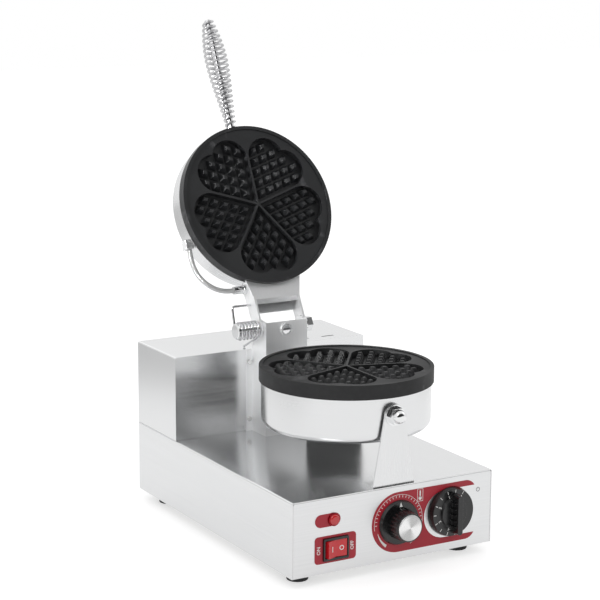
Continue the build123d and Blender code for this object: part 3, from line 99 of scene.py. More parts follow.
class Grain(Enum):
    """How a metal's fine lines run, as the noise's density in each direction.

    The first three run along an axis. ROUND runs round an axis, as on a spun disc, and gives the
    density along the radius, along the axis and across.
    """

    ALONG_X = (6.0, 700.0, 700.0)
    ALONG_Y = (700.0, 6.0, 700.0)
    ALONG_Z = (700.0, 700.0, 6.0)
    ROUND = (900.0, 900.0, 9.0)


def centre_of(node: str) -> Vector:
    """Give the middle of a CAD node's box, in metres."""
    low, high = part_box(node)
    return (low + high) / 2


def placed(origin: Vector, x_dir: Vector, normal: Vector) -> Matrix:
    """Make the matrix of a working plane.

    Args:
        origin: The plane's origin in the frame.
        x_dir: The plane's X direction.
        normal: The direction that the plane faces.

    Returns:
        A matrix that takes plane coordinates to the frame.
    """
    z_dir = normal.normalized()
    y_dir = z_dir.cross(x_dir.normalized()).normalized()
    x_true = y_dir.cross(z_dir)
    rows = [(x_true[i], y_dir[i], z_dir[i], origin[i]) for i in range(3)]
    return Matrix([*rows, (0.0, 0.0, 0.0, 1.0)])


SIDEWAYS = Vector((1, 0, 0))
FRONT_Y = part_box("front_panel")[0].y
PANEL = placed(Vector((0, FRONT_Y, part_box("base_shell")[0].z)), SIDEWAYS, Vector((0, -1, 0)))
HINGE = Vector(next(j for j in frame["joints"] if j["name"] == "lid_hinge")["pos_m"])
LID_ANGLE = math.radians(116.0)
LID_NORMAL = Vector((0, -math.sin(LID_ANGLE), -math.cos(LID_ANGLE)))
LID_UP = Vector((0, -math.cos(LID_ANGLE), math.sin(LID_ANGLE)))
LID_BAND = 12.0 * MM
LID_ORIGIN = centre_of("lid_plate") + LID_NORMAL * LID_BAND / 2
LID = placed(LID_ORIGIN, SIDEWAYS, LID_NORMAL)


class TreeWriter:
    """Writes nodes into a tree and feeds their inputs."""

    def __init__(self, tree: NodeGroup) -> None:
        """Keep the tree that is written."""
        self.tree = tree

    def feed(self, node: Node, inputs: dict[str | int, object]) -> Node:
        """Link or set a node's inputs.

        Args:
            node: The node whose inputs are fed.
            inputs: Sockets to link, or plain values, by the input's name or number.

        Returns:
            The same node.
        """
        for key, value in inputs.items():
            if isinstance(value, Socket):
                self.tree.links.new(value, node.inputs[key])
            else:
                node.inputs[key].default_value = value
        return node

    def add(self, kind: str, inputs: dict[str | int, object] | None = None,
            **settings: object) -> Node:
        """Add a node, set its properties and feed its inputs.

        Args:
            kind: The node's type name.
            inputs: Sockets to link, or plain values, by the input's name or number.
            **settings: The node's properties.

        Returns:
            The new node.
        """
        node = self.tree.nodes.new(kind)
        for key, value in settings.items():
            setattr(node, key, value)
        return self.feed(node, inputs or {})

    def math(self, operation: str, *values: object, clamp: bool = False) -> Socket:
        """Add a math node.

        Args:
            operation: The node's operation.
            *values: Its one to three values, as sockets or numbers.
            clamp: Whether the result stays between 0 and 1.

        Returns:
            The result.
        """
        numbered = dict(enumerate(values))
        return self.add("ShaderNodeMath", numbered, operation=operation, use_clamp=clamp).outputs[0]


class ShaderTree(TreeWriter):
    """Writes the nodes of one material, of the world or of one shader node group."""

    def ramp(self, value: object, low: float, high: float, to_low: float = 0.0,
             to_high: float = 1.0) -> Socket:
        """Map a value smoothly from one range to another.

        Args:
            value: The value.
            low: Where its range starts.
            high: Where its range ends.
            to_low: What the start becomes.
            to_high: What the end becomes.

        Returns:
            The mapped value.
        """
        ranges = {"From Min": low, "From Max": high, "To Min": to_low, "To Max": to_high}
        node = self.add("ShaderNodeMapRange", {"Value": value, **ranges},
                        interpolation_type="SMOOTHSTEP")
        return node.outputs["Result"]

    def noise(self, place: Socket, scale: object, detail: float) -> Socket:
        """Add a noise texture and give its value."""
        inputs = {"Vector": place, "Scale": scale, "Detail": detail}
        return self.add("ShaderNodeTexNoise", inputs).outputs["Fac"]

    def mix(self, share: object, first: object, second: object) -> Socket:
        """Mix two colours, whose sockets on the node are the seventh and the eighth."""
        node = self.add("ShaderNodeMix", {0: share, 6: first, 7: second}, data_type="RGBA")
        return node.outputs[2]

    def apart(self, vector: Socket) -> Node:
        """Split a vector and give the node that puts out its X, Y and Z."""
        return self.add("ShaderNodeSeparateXYZ", {"Vector": vector})

    def length(self, vector: Socket) -> Socket:
        """Give a vector's length."""
        return self.add("ShaderNodeVectorMath", {0: vector}, operation="LENGTH").outputs["Value"]


def new_group(name: str, number: str, results: Sequence[str]) -> tuple[ShaderTree, Node, Node]:
    """Start a shader node group that takes coordinates and a number, and puts out numbers.

    Args:
        name: The group's name.
        number: The name of the input beside Vector.
        results: The names of the outputs.

    Returns:
        The tree's writer, its input node and its output node.
    """
    tree = bpy.data.node_groups.new(name, "ShaderNodeTree")
    tree.interface.new_socket("Vector", in_out="INPUT", socket_type="NodeSocketVector")
    tree.interface.new_socket(number, in_out="INPUT", socket_type="NodeSocketFloat")
    for label in results:
        tree.interface.new_socket(label, in_out="OUTPUT", socket_type="NodeSocketFloat")
    writer = ShaderTree(tree)
    return writer, writer.add("NodeGroupInput"), writer.add("NodeGroupOutput")


def brushing_group() -> NodeGroup:
    """Make the group for fine lines in metal: their height, and how they lighten and darken.

    Returns:
        The group.
    """
    tree, given, result = new_group("Brushing", "Strength", ("Value", "Height"))
    place = given.outputs["Vector"]
    fine_share, broad_share = 0.65, 0.35
    fine = tree.math("MULTIPLY", tree.noise(place, scale=1.0, detail=2.0), fine_share)
    broad = tree.math("MULTIPLY", tree.noise(place, scale=0.17, detail=2.0), broad_share)
    lines = tree.math("ADD", fine, broad)
    centred = tree.math("SUBTRACT", lines, 0.5)
    value = tree.math("MULTIPLY", centred, given.outputs["Strength"])
    tree.feed(result, {"Value": value, "Height": lines})
    return tree.tree


def handling_group() -> NodeGroup:
    """Make the group for wiped smears and fingerprints, as a value added to roughness.

    Returns:
        The group.
    """
    tree, given, result = new_group("Handling", "Amount", ("Roughness", "Mask"))
    place = given.outputs["Vector"]
    wipe_share = 0.08
    cloud = tree.noise(place, scale=14.0, detail=1.5)
    wipe = tree.math("MULTIPLY", tree.noise(place, scale=70.0, detail=2.0), wipe_share)
    mask = tree.ramp(tree.math("ADD", cloud, wipe), low=0.46, high=0.74)
    rough = tree.math("MULTIPLY", mask, given.outputs["Amount"])
    tree.feed(result, {"Roughness": rough, "Mask": mask})
    return tree.tree


def edge_rub_group() -> NodeGroup:
    """Make the group for edges that are rubbed lighter, broken up by noise.

    Returns:
        The group.
    """
    tree, given, result = new_group("EdgeRub", "Amount", ("Mask",))
    geometry = tree.add("ShaderNodeNewGeometry")
    edge = tree.ramp(geometry.outputs["Pointiness"], low=0.515, high=0.62)
    patches = tree.noise(given.outputs["Vector"], scale=160.0, detail=3.0)
    broken = tree.math("MULTIPLY", edge, tree.ramp(patches, low=0.35, high=0.65))
    worn = tree.math("MULTIPLY", broken, given.outputs["Amount"], clamp=True)
    tree.feed(result, {"Mask": worn})
    return tree.tree


def stipple_group() -> NodeGroup:
    """Make the group for a moulded or sprayed surface's fine pimples, with broad patches.

    Returns:
        The group.
    """
    tree, given, result = new_group("Stipple", "Size", ("Value", "Height"))
    place = given.outputs["Vector"]
    pimples = tree.noise(place, scale=given.outputs["Size"], detail=2.0)
    patches = tree.noise(place, scale=24.0, detail=3.0)
    tree.feed(result, {"Value": tree.math("SUBTRACT", patches, 0.5), "Height": pimples})
    return tree.tree


@dataclass(frozen=True)
class Effects:
    """The shader node groups that the finishes share, each built once."""

    brushing: NodeGroup = field(default_factory=brushing_group)
    handling: NodeGroup = field(default_factory=handling_group)
    edge_rub: NodeGroup = field(default_factory=edge_rub_group)
    stipple: NodeGroup = field(default_factory=stipple_group)


class Surface(ShaderTree):
    """Writes one material's tree round its Principled shader and its Object coordinates."""

    def __init__(self, name: str) -> None:
        """Start the material.

        Args:
            name: The material's name.
        """
        self.material = bpy.data.materials.new(name)
        self.material.use_nodes = True
        super().__init__(self.material.node_tree)
        self.shader = self.tree.nodes["Principled BSDF"]
        self.place = self.add("ShaderNodeTexCoord").outputs["Object"]

    def effect(self, group: NodeGroup, place: Socket | None = None, **numbers: float) -> Node:
        """Place a shared effect in the material.

        Args:
            group: The effect's node group.
            place: Its coordinates, where they aren't the Object coordinates.
            **numbers: Its own number, by the name of the group's input.

        Returns:
            The effect's node.
        """
        inputs = {"Vector": self.place if place is None else place, **numbers}
        return self.add("ShaderNodeGroup", inputs, node_tree=group)

    def close(self, colour: Socket, rough: Socket, height: Socket, relief: float, depth: float,
              metallic: float = 0.0) -> Material:
        """Feed the shader with what every finish sets.

        Args:
            colour: The colour over the surface.
            rough: The roughness over the surface.
            height: The bump's height over the surface.
            relief: The bump's strength.
            depth: The bump's depth in mm.
            metallic: 1 for a bare metal.

        Returns:
            The finished material.
        """
        bump = self.add("ShaderNodeBump",
                        {"Strength": relief, "Distance": depth * MM, "Height": height})
        self.feed(self.shader, {"Base Color": colour, "Metallic": metallic, "Roughness": rough,
                                "Normal": bump.outputs["Normal"]})
        return self.material


def grey(value: float) -> Colour:
    """Give a plain grey."""
    return value, value, value, 1.0


def toned(colour: Colour, share: float) -> Colour:
    """Give a colour made lighter or darker by a share."""
    return tuple(share * c for c in colour[:3]) + (1.0,)


@dataclass(frozen=True)
class BrushedMetal:
    """Sheet or bar metal with fine lines, wiped smears and a plain tone.

    The lines run along an axis, or round the given centre and axis for a spun part. A painted
    sheen gives a turned disc light and dark sectors that stand in for its reflection, and painted
    shade darkens narrow joints where the surfaces occlude each other, up to that many mm.
    """

    name: str
    tone: Colour = (0.78, 0.785, 0.79, 1.0)
    grain: Grain = Grain.ALONG_X
    roughness: float = 0.27
    lines: float = 0.10
    smear: float = 0.025
    relief: float = 0.07
    depth: float = 0.01
    centre: tuple[float, float, float] = (0.0, 0.0, 0.0)
    tilt: float = 0.0
    # Painted sheen: light and dark sectors round a turned disc that stand in for its reflection.
    painted_sheen: float = 0.0
    painted_sheen_pairs: float = 2.0
    painted_sheen_start: float = 0.9
    painted_sheen_edge: float = 0.9
    # Painted shade in narrow joints: its reach in mm, and the darkest share of the tone.
    painted_shade_reach: float = 0.0
    painted_shade_darkest: float = 0.25

    def build(self, effects: Effects) -> Material:
        """Make the material.

        Args:
            effects: The shared shader node groups.

        Returns:
            The material.
        """
        surface = Surface(self.name)
        lines = surface.effect(effects.brushing, self.line_places(surface), Strength=self.lines)
        smears = surface.effect(effects.handling, Amount=self.smear)
        value = surface.math("ADD", lines.outputs["Value"], 1.0)
        # Painted sheen: light and dark sectors in the tone of a turned disc.
        if self.painted_sheen:
            value = surface.math("MULTIPLY", value, self.painted_sheen_sectors(surface))
        # Painted shade: the tone darkens in joints that nearby surfaces occlude.
        if self.painted_shade_reach:
            value = surface.math("MULTIPLY", value, self.painted_joint_shade(surface))
        tone = surface.add("ShaderNodeVectorMath", {0: self.tone[:3], "Scale": value},
                           operation="SCALE")
        rough = surface.math("ADD", smears.outputs["Roughness"], self.roughness)
        rough = surface.math("ADD", rough, lines.outputs["Value"])
        return surface.close(tone.outputs[0], rough, lines.outputs["Height"], self.relief,
                             self.depth, metallic=1.0)

    def painted_joint_shade(self, surface: Surface) -> Socket:
        """Give the painted shade in the narrow joints, where the surfaces occlude each other.

        Args:
            surface: The material's writer.

        Returns:
            A share that the tone is multiplied by.
        """
        nearness = surface.add("ShaderNodeAmbientOcclusion", {"Distance": self.painted_shade_reach * MM},
                               samples=6)
        return surface.ramp(nearness.outputs["AO"], low=0.30, high=0.62, to_low=self.painted_shade_darkest)

    def seen_on_axis(self, surface: Surface) -> Node:
        """Give the coordinates apart, as seen from the spun part's centre along its axis.

        Args:
            surface: The material's writer.

        Returns:
            The node that puts out X, Y and Z.
        """
        mapping = surface.add("ShaderNodeMapping", {
            "Vector": surface.place, "Location": self.centre, "Rotation": (self.tilt, 0.0, 0.0),
        }, vector_type="TEXTURE")
        return surface.apart(mapping.outputs[0])

    def painted_sheen_sectors(self, surface: Surface) -> Socket:
        """Give the painted sheen: light and dark sectors round a turned disc, as its reflection.

        Args:
            surface: The material's writer.

        Returns:
            A share that the tone is multiplied by.
        """
        seen = self.seen_on_axis(surface)
        angle = surface.math("ARCTAN2", seen.outputs["Y"], seen.outputs["X"])
        wave = surface.math(
            "COSINE", surface.math("MULTIPLY_ADD", angle, self.painted_sheen_pairs, self.painted_sheen_start))
        return surface.ramp(wave, low=-self.painted_sheen_edge, high=self.painted_sheen_edge, to_low=1.0 - self.painted_sheen)

    def line_places(self, surface: Surface) -> Socket:
        """Give the coordinates that stretch the noise into lines.

        Args:
            surface: The material's writer.

        Returns:
            The stretched coordinates.
        """
        if self.grain is not Grain.ROUND:
            inputs = {"Vector": surface.place, "Scale": self.grain.value}
            return surface.add("ShaderNodeMapping", inputs).outputs[0]
        radial, axial, across = self.grain.value
        seen = self.seen_on_axis(surface)
        flat = surface.add("ShaderNodeCombineXYZ",
                           {"X": seen.outputs["X"], "Y": seen.outputs["Y"]})
        rings = surface.add("ShaderNodeCombineXYZ", {
            "X": surface.math("MULTIPLY", surface.length(flat.outputs[0]), radial),
            "Y": surface.math("MULTIPLY", seen.outputs["Z"], axial),
            "Z": surface.math("MULTIPLY", seen.outputs["X"], across),
        })
        return rings.outputs[0]


@dataclass(frozen=True)
class PlatedMetal:
    """Bright plated or polished metal with faint smears."""

    name: str
    tone: Colour = (0.84, 0.845, 0.85, 1.0)
    roughness: float = 0.08
    smear: float = 0.025
    smeared_share: float = 0.93
    skin: float = 2600.0
    relief: float = 0.06
    depth: float = 0.02

    def build(self, effects: Effects) -> Material:
        """Make the material.

        Args:
            effects: The shared shader node groups.

        Returns:
            The material.
        """
        surface = Surface(self.name)
        smears = surface.effect(effects.handling, Amount=self.smear)
        stipple = surface.effect(effects.stipple, Size=self.skin)
        smeared = toned(self.tone, self.smeared_share)
        tone = surface.mix(smears.outputs["Mask"], self.tone, smeared)
        rough = surface.math("ADD", smears.outputs["Roughness"], self.roughness)
        return surface.close(tone, rough, stipple.outputs["Height"], self.relief, self.depth,
                             metallic=1.0)


@dataclass(frozen=True)
class BakedCoating:
    """The dark coating on cast baking plates, patchy and rubbed a little at its edges."""

    name: str
    tone: Colour = (0.010, 0.0105, 0.0115, 1.0)
    rubbed: Colour = (0.06, 0.06, 0.064, 1.0)
    roughness: float = 0.37
    rub: float = 0.7
    smear: float = 0.12
    patch_share: float = 1.5
    patch_contrast: float = 0.9
    patch_middle: float = 0.4
    skin: float = 1500.0
    relief: float = 0.22
    depth: float = 0.12

    def build(self, effects: Effects) -> Material:
        """Make the material.

        Args:
            effects: The shared shader node groups.

        Returns:
            The material.
        """
        surface = Surface(self.name)
        stipple = surface.effect(effects.stipple, Size=self.skin)
        rub = surface.effect(effects.edge_rub, Amount=self.rub)
        smears = surface.effect(effects.handling, Amount=self.smear)
        patches = surface.math("MULTIPLY_ADD", stipple.outputs["Value"], self.patch_contrast,
                               self.patch_middle)
        shade = surface.mix(patches, self.tone, toned(self.tone, self.patch_share))
        colour = surface.mix(rub.outputs["Mask"], shade, self.rubbed)
        rough = surface.math("ADD", smears.outputs["Roughness"], self.roughness)
        return surface.close(colour, rough, stipple.outputs["Height"], self.relief, self.depth)


@dataclass(frozen=True)
class MouldedPart:
    """Moulded plastic or rubber with a fine skin and lighter rubbed edges."""

    name: str
    tone: Colour
    rubbed: Colour
    roughness: float = 0.32
    rub: float = 0.6
    smear: float = 0.10
    skin: float = 1800.0
    relief: float = 0.12
    depth: float = 0.08
    coat: float = 0.0
    coat_roughness: float = 0.08
    glow: float = 0.0

    def build(self, effects: Effects) -> Material:
        """Make the material.

        Args:
            effects: The shared shader node groups.

        Returns:
            The material.
        """
        surface = Surface(self.name)
        stipple = surface.effect(effects.stipple, Size=self.skin)
        rub = surface.effect(effects.edge_rub, Amount=self.rub)
        smears = surface.effect(effects.handling, Amount=self.smear)
        colour = surface.mix(rub.outputs["Mask"], self.tone, self.rubbed)
        rough = surface.math("ADD", smears.outputs["Roughness"], self.roughness)
        surface.feed(surface.shader, {"Coat Weight": self.coat,
                                      "Coat Roughness": self.coat_roughness})
        if self.glow:
            surface.feed(surface.shader, {"Emission Color": self.tone,
                                          "Emission Strength": self.glow})
        return surface.close(colour, rough, stipple.outputs["Height"], self.relief, self.depth)


@dataclass(frozen=True)
class PrintedFilm:
    """A printed plastic film, slightly uneven in its ink and satin on top."""

    name: str
    tone: Colour
    roughness: float = 0.30
    smear: float = 0.14
    uneven_share: float = 0.86
    skin: float = 900.0
    relief: float = 0.05
    depth: float = 0.05

    def build(self, effects: Effects) -> Material:
        """Make the material.

        Args:
            effects: The shared shader node groups.

        Returns:
            The material.
        """
        surface = Surface(self.name)
        stipple = surface.effect(effects.stipple, Size=self.skin)
        smears = surface.effect(effects.handling, Amount=self.smear)
        share = surface.ramp(stipple.outputs["Value"], low=-0.25, high=0.3)
        colour = surface.mix(share, self.tone, toned(self.tone, self.uneven_share))
        rough = surface.math("ADD", smears.outputs["Roughness"], self.roughness)
        return surface.close(colour, rough, stipple.outputs["Height"], self.relief, self.depth)


class Finishes:
    """Every material of the part, by a plain name."""

    def __init__(self, effects: Effects) -> None:
        """Build the materials.

        Args:
            effects: The shared shader node groups.
        """
        made = (*self.metals(), *self.coatings_and_plastics())
        self.by_name = {finish.name: finish.build(effects) for finish in made}

    def __getitem__(self, name: str) -> Material:
        """Give a material by its name."""
        return self.by_name[name]

    @staticmethod
    def metals() -> list[BrushedMetal | PlatedMetal]:
        """Give the bare and plated metals.

        Returns:
            The finishes.
        """
        pan = tuple(centre_of("lower_shell"))
        cap = tuple(centre_of("thermostat_cap"))
        return [
            # The sheet and the housing carry painted shade in their joints.
            BrushedMetal("sheet_steel", grain=Grain.ALONG_Y, roughness=0.15, painted_shade_reach=1.6),
            BrushedMetal("panel_steel", grain=Grain.ALONG_X, roughness=0.30, lines=0.14),
            BrushedMetal("housing_steel", grain=Grain.ALONG_X, roughness=0.19, painted_shade_reach=1.6),
            BrushedMetal("stand_steel", (0.92, 0.925, 0.93, 1.0), Grain.ALONG_Z, roughness=0.50),
            BrushedMetal("bracket_steel", grain=Grain.ALONG_Z, roughness=0.26, lines=0.12),
            BrushedMetal("spun_pan", grain=Grain.ROUND, roughness=0.24, centre=pan),
            BrushedMetal("spun_lid", grain=Grain.ROUND, roughness=0.24, centre=tuple(LID_ORIGIN),
                         tilt=math.pi - LID_ANGLE),
            # The cap's light and dark sectors are a painted sheen.
            BrushedMetal("spun_cap", grey(0.88), Grain.ROUND, roughness=0.25, lines=0.16,
                         centre=cap, tilt=math.pi / 2, painted_sheen=0.42),
            BrushedMetal("inner_steel", (0.55, 0.55, 0.54, 1.0), Grain.ALONG_X, roughness=0.42),
            PlatedMetal("chrome"),
            PlatedMetal("wire_chrome", (0.66, 0.66, 0.67, 1.0), roughness=0.10),
            PlatedMetal("screw_steel", (0.72, 0.72, 0.71, 1.0), roughness=0.22),
            PlatedMetal("lead_armour", grey(0.70), roughness=0.28, smear=0.16),
            PlatedMetal("lamp_bezel", (0.34, 0.02, 0.03, 1.0), roughness=0.22),
        ]

    @staticmethod
    def coatings_and_plastics() -> list[BakedCoating | MouldedPart | PrintedFilm]:
        """Give the baked coatings, the moulded plastics, the rubber, the mat and the inks.

        Returns:
            The finishes.
        """
        return [
            BakedCoating("lid_coating"),
            # The pan's coating is the lid's coating with a darker tone as painted shade, and
            # rougher.
            BakedCoating("pan_coating", (0.006, 0.0063, 0.007, 1.0), roughness=0.55),
            MouldedPart("black_plastic", (0.005, 0.005, 0.0055, 1.0), (0.025, 0.025, 0.026, 1.0),
                        roughness=0.22, relief=0.05, coat=0.3),
            MouldedPart("rubber", (0.020, 0.020, 0.021, 1.0), grey(0.07), roughness=0.62,
                        skin=900.0, relief=0.3),
            MouldedPart("white_plastic", (0.72, 0.71, 0.68, 1.0), (0.8, 0.8, 0.78, 1.0)),
            MouldedPart("red_plastic", (0.50, 0.008, 0.014, 1.0), (0.62, 0.05, 0.05, 1.0),
                        roughness=0.16, coat=0.4, glow=0.12),
            MouldedPart("red_lens", (0.42, 0.006, 0.010, 1.0), (0.6, 0.06, 0.06, 1.0),
                        roughness=0.07, relief=0.02, coat=0.8, glow=0.18),
            MouldedPart("mineral_mat", (0.62, 0.57, 0.47, 1.0), (0.7, 0.66, 0.58, 1.0),
                        roughness=0.9, skin=260.0, relief=0.6),
            PrintedFilm("red_film", RED_INK),
            PrintedFilm("white_ink", WHITE_INK, roughness=0.38),
            PrintedFilm("dark_ink", grey(0.10), roughness=0.38),
        ]


def dress(node: str, material: Material) -> None:
    """Put a material on a CAD node in every slot of its object.

    Args:
        node: The CAD node.
        material: The material.
    """
    target = frame["nodes"][node]
    if not target.material_slots:
        target.data.materials.append(material)
    for slot in target.material_slots:
        slot.link = "OBJECT"
        slot.material = material


def smooth_by_angle(mesh: Mesh) -> None:
    """Shade a mesh smoothly and keep its sharper edges crisp.

    Args:
        mesh: The mesh to shade.
    """
    work = bmesh.new()
    work.from_mesh(mesh)
    limit = math.radians(CRISP_ANGLE)
    for face in work.faces:
        face.smooth = True
    for edge in work.edges:
        edge.smooth = len(edge.link_faces) != 2 or edge.calc_face_angle(0.0) < limit
    work.to_mesh(mesh)
    work.free()


def linked(name: str, mesh: Mesh) -> Piece:
    """Put a mesh into the scene as an object at the origin.

    Args:
        name: The new object's name.
        mesh: Its mesh.

    Returns:
        The new object.
    """
    mesh.name = name
    made = bpy.data.objects.new(name, mesh)
    bpy.context.scene.collection.objects.link(made)
    return made


def flattened(thing: Piece, name: str) -> Piece:
    """Turn an object with modifiers or a text into a plain mesh object at the origin.

    Args:
        thing: The object, which is removed.
        name: The new object's name.

    Returns:
        The plain mesh object.
    """
    bpy.context.view_layer.update()
    depsgraph = bpy.context.evaluated_depsgraph_get()
    mesh = bpy.data.meshes.new_from_object(
        thing.evaluated_get(depsgraph), preserve_all_data_layers=True, depsgraph=depsgraph)
    mesh.transform(thing.matrix_world)
    bpy.data.objects.remove(thing)
    return linked(name, mesh)


def finish_piece(piece: Piece, body: Body, material: Material | None = None,
                 stands_for: Sequence[str] = ()) -> None:
    """Give a piece its material and its body, hide the CAD nodes that it replaces, and log it.

    Args:
        piece: The finished mesh object.
        body: The body that it rides on.
        material: Its material, unless it has one.
        stands_for: The CAD nodes that it replaces.
    """
    if material is not None:
        piece.data.materials.clear()
        piece.data.materials.append(material)
    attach(piece, body.value)
    if stands_for:
        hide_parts(*stands_for)
    LOG.info("%s: %d faces on %s", piece.name, len(piece.data.polygons), body.value)


@dataclass(frozen=True)
class SoftEdges:
    """How a CAD part's corners are rounded in its visible copy, in mm and degrees.

    Triangles that lie flat to each other within the flat angle are joined first. 0 leaves them.
    """

    width: float = 0.35
    segments: int = 2
    angle: float = 32.0
    flat: float = 0.6

    def copy_of(self, node: str) -> Piece:
        """Copy a CAD node's mesh and round its sharp edges.

        Args:
            node: The CAD node.

        Returns:
            A plain mesh object with rounded edges.
        """
        mesh = self.merged_mesh(node)
        piece = linked(f"{node}_raw", mesh)
        for face in mesh.polygons:
            face.use_smooth = True
        bevel = piece.modifiers.new("Bevel", "BEVEL")
        bevel.width = self.width * MM
        bevel.segments = self.segments
        bevel.limit_method = "ANGLE"
        bevel.angle_limit = math.radians(self.angle)
        bevel.harden_normals = True
        bevel.use_clamp_overlap = True
        bevel.miter_outer = "MITER_ARC"
        return flattened(piece, f"{node}_finished")

    def merged_mesh(self, node: str) -> Mesh:
        """Copy a CAD node's mesh and join its loose triangles.

        Args:
            node: The CAD node.

        Returns:
            A connected mesh without materials or stored normals.
        """
        mesh = frame["nodes"][node].data.copy()
        mesh.materials.clear()
        work = bmesh.new()
        work.from_mesh(mesh)
        bmesh.ops.remove_doubles(work, verts=work.verts[:], dist=SAME_POINT)
        if self.flat:
            bmesh.ops.dissolve_limit(
                work, angle_limit=math.radians(self.flat), verts=work.verts[:],
                edges=work.edges[:], use_dissolve_boundaries=False, delimit={"NORMAL"},
            )
        work.to_mesh(mesh)
        work.free()
        for layer_name in ("custom_normal", "sharp_edge", "sharp_face"):
            layer = mesh.attributes.get(layer_name)
            if layer is not None:
                mesh.attributes.remove(layer)
        return mesh


FINE_EDGES = SoftEdges(width=0.22)
SPUN_EDGES = SoftEdges(width=0.25)
FILM_EDGES = SoftEdges(width=0.08)
PLATE_EDGES = SoftEdges(width=0.3, flat=0.0)


@dataclass(frozen=True)
class SoftCopy:
    """A CAD part that is seen, with its finish and its rounded edges."""

    node: str
    material: str
    slot: str
    edges: SoftEdges = SoftEdges()
    body: Body = Body.BASE

    def build(self, finishes: Finishes) -> None:
        """Make the copy in the node's place.

        Args:
            finishes: The materials.
        """
        piece = self.edges.copy_of(self.node)
        finish_piece(piece, self.body, finishes[self.material], [self.node])


class FormTree(TreeWriter):
    """Writes one Geometry Nodes tree with named inputs and turns it into plain meshes."""

    def __init__(self, name: str) -> None:
        """Start the tree with a geometry input and output.

        Args:
            name: The tree's name.
        """
        super().__init__(bpy.data.node_groups.new(name, "GeometryNodeTree"))
        for way in ("INPUT", "OUTPUT"):
            self.tree.interface.new_socket("Geometry", in_out=way,
                                           socket_type="NodeSocketGeometry")
        self.given = self.tree.nodes.new("NodeGroupInput")
        self.result = self.tree.nodes.new("NodeGroupOutput")

    def asked(self, name: str, kind: str = "NodeSocketFloat") -> Socket:
        """Add a named input, which is a number unless its kind is given."""
        self.tree.interface.new_socket(name, in_out="INPUT", socket_type=kind)
        return self.given.outputs[name]

    def asked_count(self, name: str) -> Socket:
        """Add a named input for a whole number."""
        return self.asked(name, "NodeSocketInt")

    def vector(self, x: object, y: object, z: object) -> Socket:
        """Join three numbers to a vector."""
        return self.add("ShaderNodeCombineXYZ", {0: x, 1: y, 2: z}).outputs[0]

    def share(self, count: Socket) -> Socket:
        """Give each point's share of the way along a line of points."""
        index = self.add("GeometryNodeInputIndex").outputs[0]
        return self.math("DIVIDE", index, self.math("SUBTRACT", count, 1.0))

    def line_round(self, count: Socket, radius: Socket, angle: Socket, height: object) -> Socket:
        """Give a line of points that stand round the Z axis.

        Args:
            count: How many points there are.
            radius: Each point's distance from the axis.
            angle: Each point's angle.
            height: Each point's height.

        Returns:
            The line.
        """
        across = self.math("MULTIPLY", radius, self.math("COSINE", angle))
        along = self.math("MULTIPLY", radius, self.math("SINE", angle))
        line = self.add("GeometryNodeMeshLine", {"Count": count}).outputs[0]
        place = {"Geometry": line, "Position": self.vector(across, along, height)}
        return self.add("GeometryNodeSetPosition", place).outputs[0]

    def curve(self, mesh: Socket) -> Socket:
        """Turn a line of points into a curve."""
        return self.add("GeometryNodeMeshToCurve", {"Mesh": mesh}).outputs[0]

    def ring(self, radius: Socket, sides: int) -> Socket:
        """Give a ring with a number of sides."""
        inputs = {"Resolution": sides, "Radius": radius}
        return self.add("GeometryNodeCurvePrimitiveCircle", inputs).outputs[0]

    def swept(self, curve: Socket, profile: Socket, caps: bool = True) -> Socket:
        """Sweep a profile along a curve, with its ends closed by caps or not."""
        inputs = {"Curve": curve, "Profile Curve": profile, "Fill Caps": caps}
        return self.add("GeometryNodeCurveToMesh", inputs).outputs[0]

    def close(self, geometry: Socket) -> None:
        """End the tree with realised instances and the material.

        Args:
            geometry: The finished geometry.
        """
        smooth = self.add("GeometryNodeSetShadeSmooth", {"Geometry": geometry})
        real = self.add("GeometryNodeRealizeInstances", {"Geometry": smooth.outputs[0]})
        material = self.asked("Material", "NodeSocketMaterial")
        dressed = self.add("GeometryNodeSetMaterial",
                           {"Geometry": real.outputs[0], "Material": material})
        self.tree.links.new(dressed.outputs[0], self.result.inputs[0])

    def make(self, name: str, values: dict[str, object], host: Mesh | None = None,
             place: Matrix | None = None) -> Piece:
        """Run the tree with the given inputs.

        Args:
            name: The new piece's name.
            values: The inputs by their names.
            host: A mesh that the tree works on, where it needs one.
            place: The matrix that takes the result to the frame.

        Returns:
            A plain mesh object.
        """
        carrier = linked(f"{name}_form", host or bpy.data.meshes.new(name))
        modifier = carrier.modifiers.new("Form", "NODES")
        modifier.node_group = self.tree
        for item in self.tree.interface.items_tree:
            if item.in_out == "INPUT" and item.name in values:
                modifier[item.identifier] = values[item.name]
        piece = flattened(carrier, name)
        if place is not None:
            piece.data.transform(place)
        smooth_by_angle(piece.data)
        return piece


def swelling_coil_tree() -> FormTree:
    """Make the tree for a wire coil whose turns swell and close again.

    Returns:
        The tree, which needs no host.
    """
    form = FormTree("SwellingCoil")
    steps, turns, length = form.asked_count("Steps"), form.asked("Turns"), form.asked("Length")
    end_radius, wide_radius = form.asked("End Radius"), form.asked("Wide Radius")
    skew, wire = form.asked("Skew"), form.asked("Wire Radius")
    share = form.share(steps)
    arch = form.math("MULTIPLY", form.math("POWER", share, skew), math.pi)
    swell = form.math("MULTIPLY", form.math("SUBTRACT", wide_radius, end_radius),
                      form.math("SINE", arch))
    radius = form.math("ADD", end_radius, swell)
    angle = form.math("MULTIPLY", form.math("MULTIPLY", share, turns), 2 * math.pi)
    wound = form.line_round(steps, radius, angle, form.math("MULTIPLY", share, length))
    form.close(form.swept(form.curve(wound), form.ring(wire, sides=12)))
    return form


def wire_path_tree() -> FormTree:
    """Make the tree for a round wire along its host's edges.

    Returns:
        The tree, whose host is a line of points.
    """
    form = FormTree("WirePath")
    wire = form.asked("Wire Radius")
    route = form.curve(form.given.outputs["Geometry"])
    form.close(form.swept(route, form.ring(wire, sides=14)))
    return form


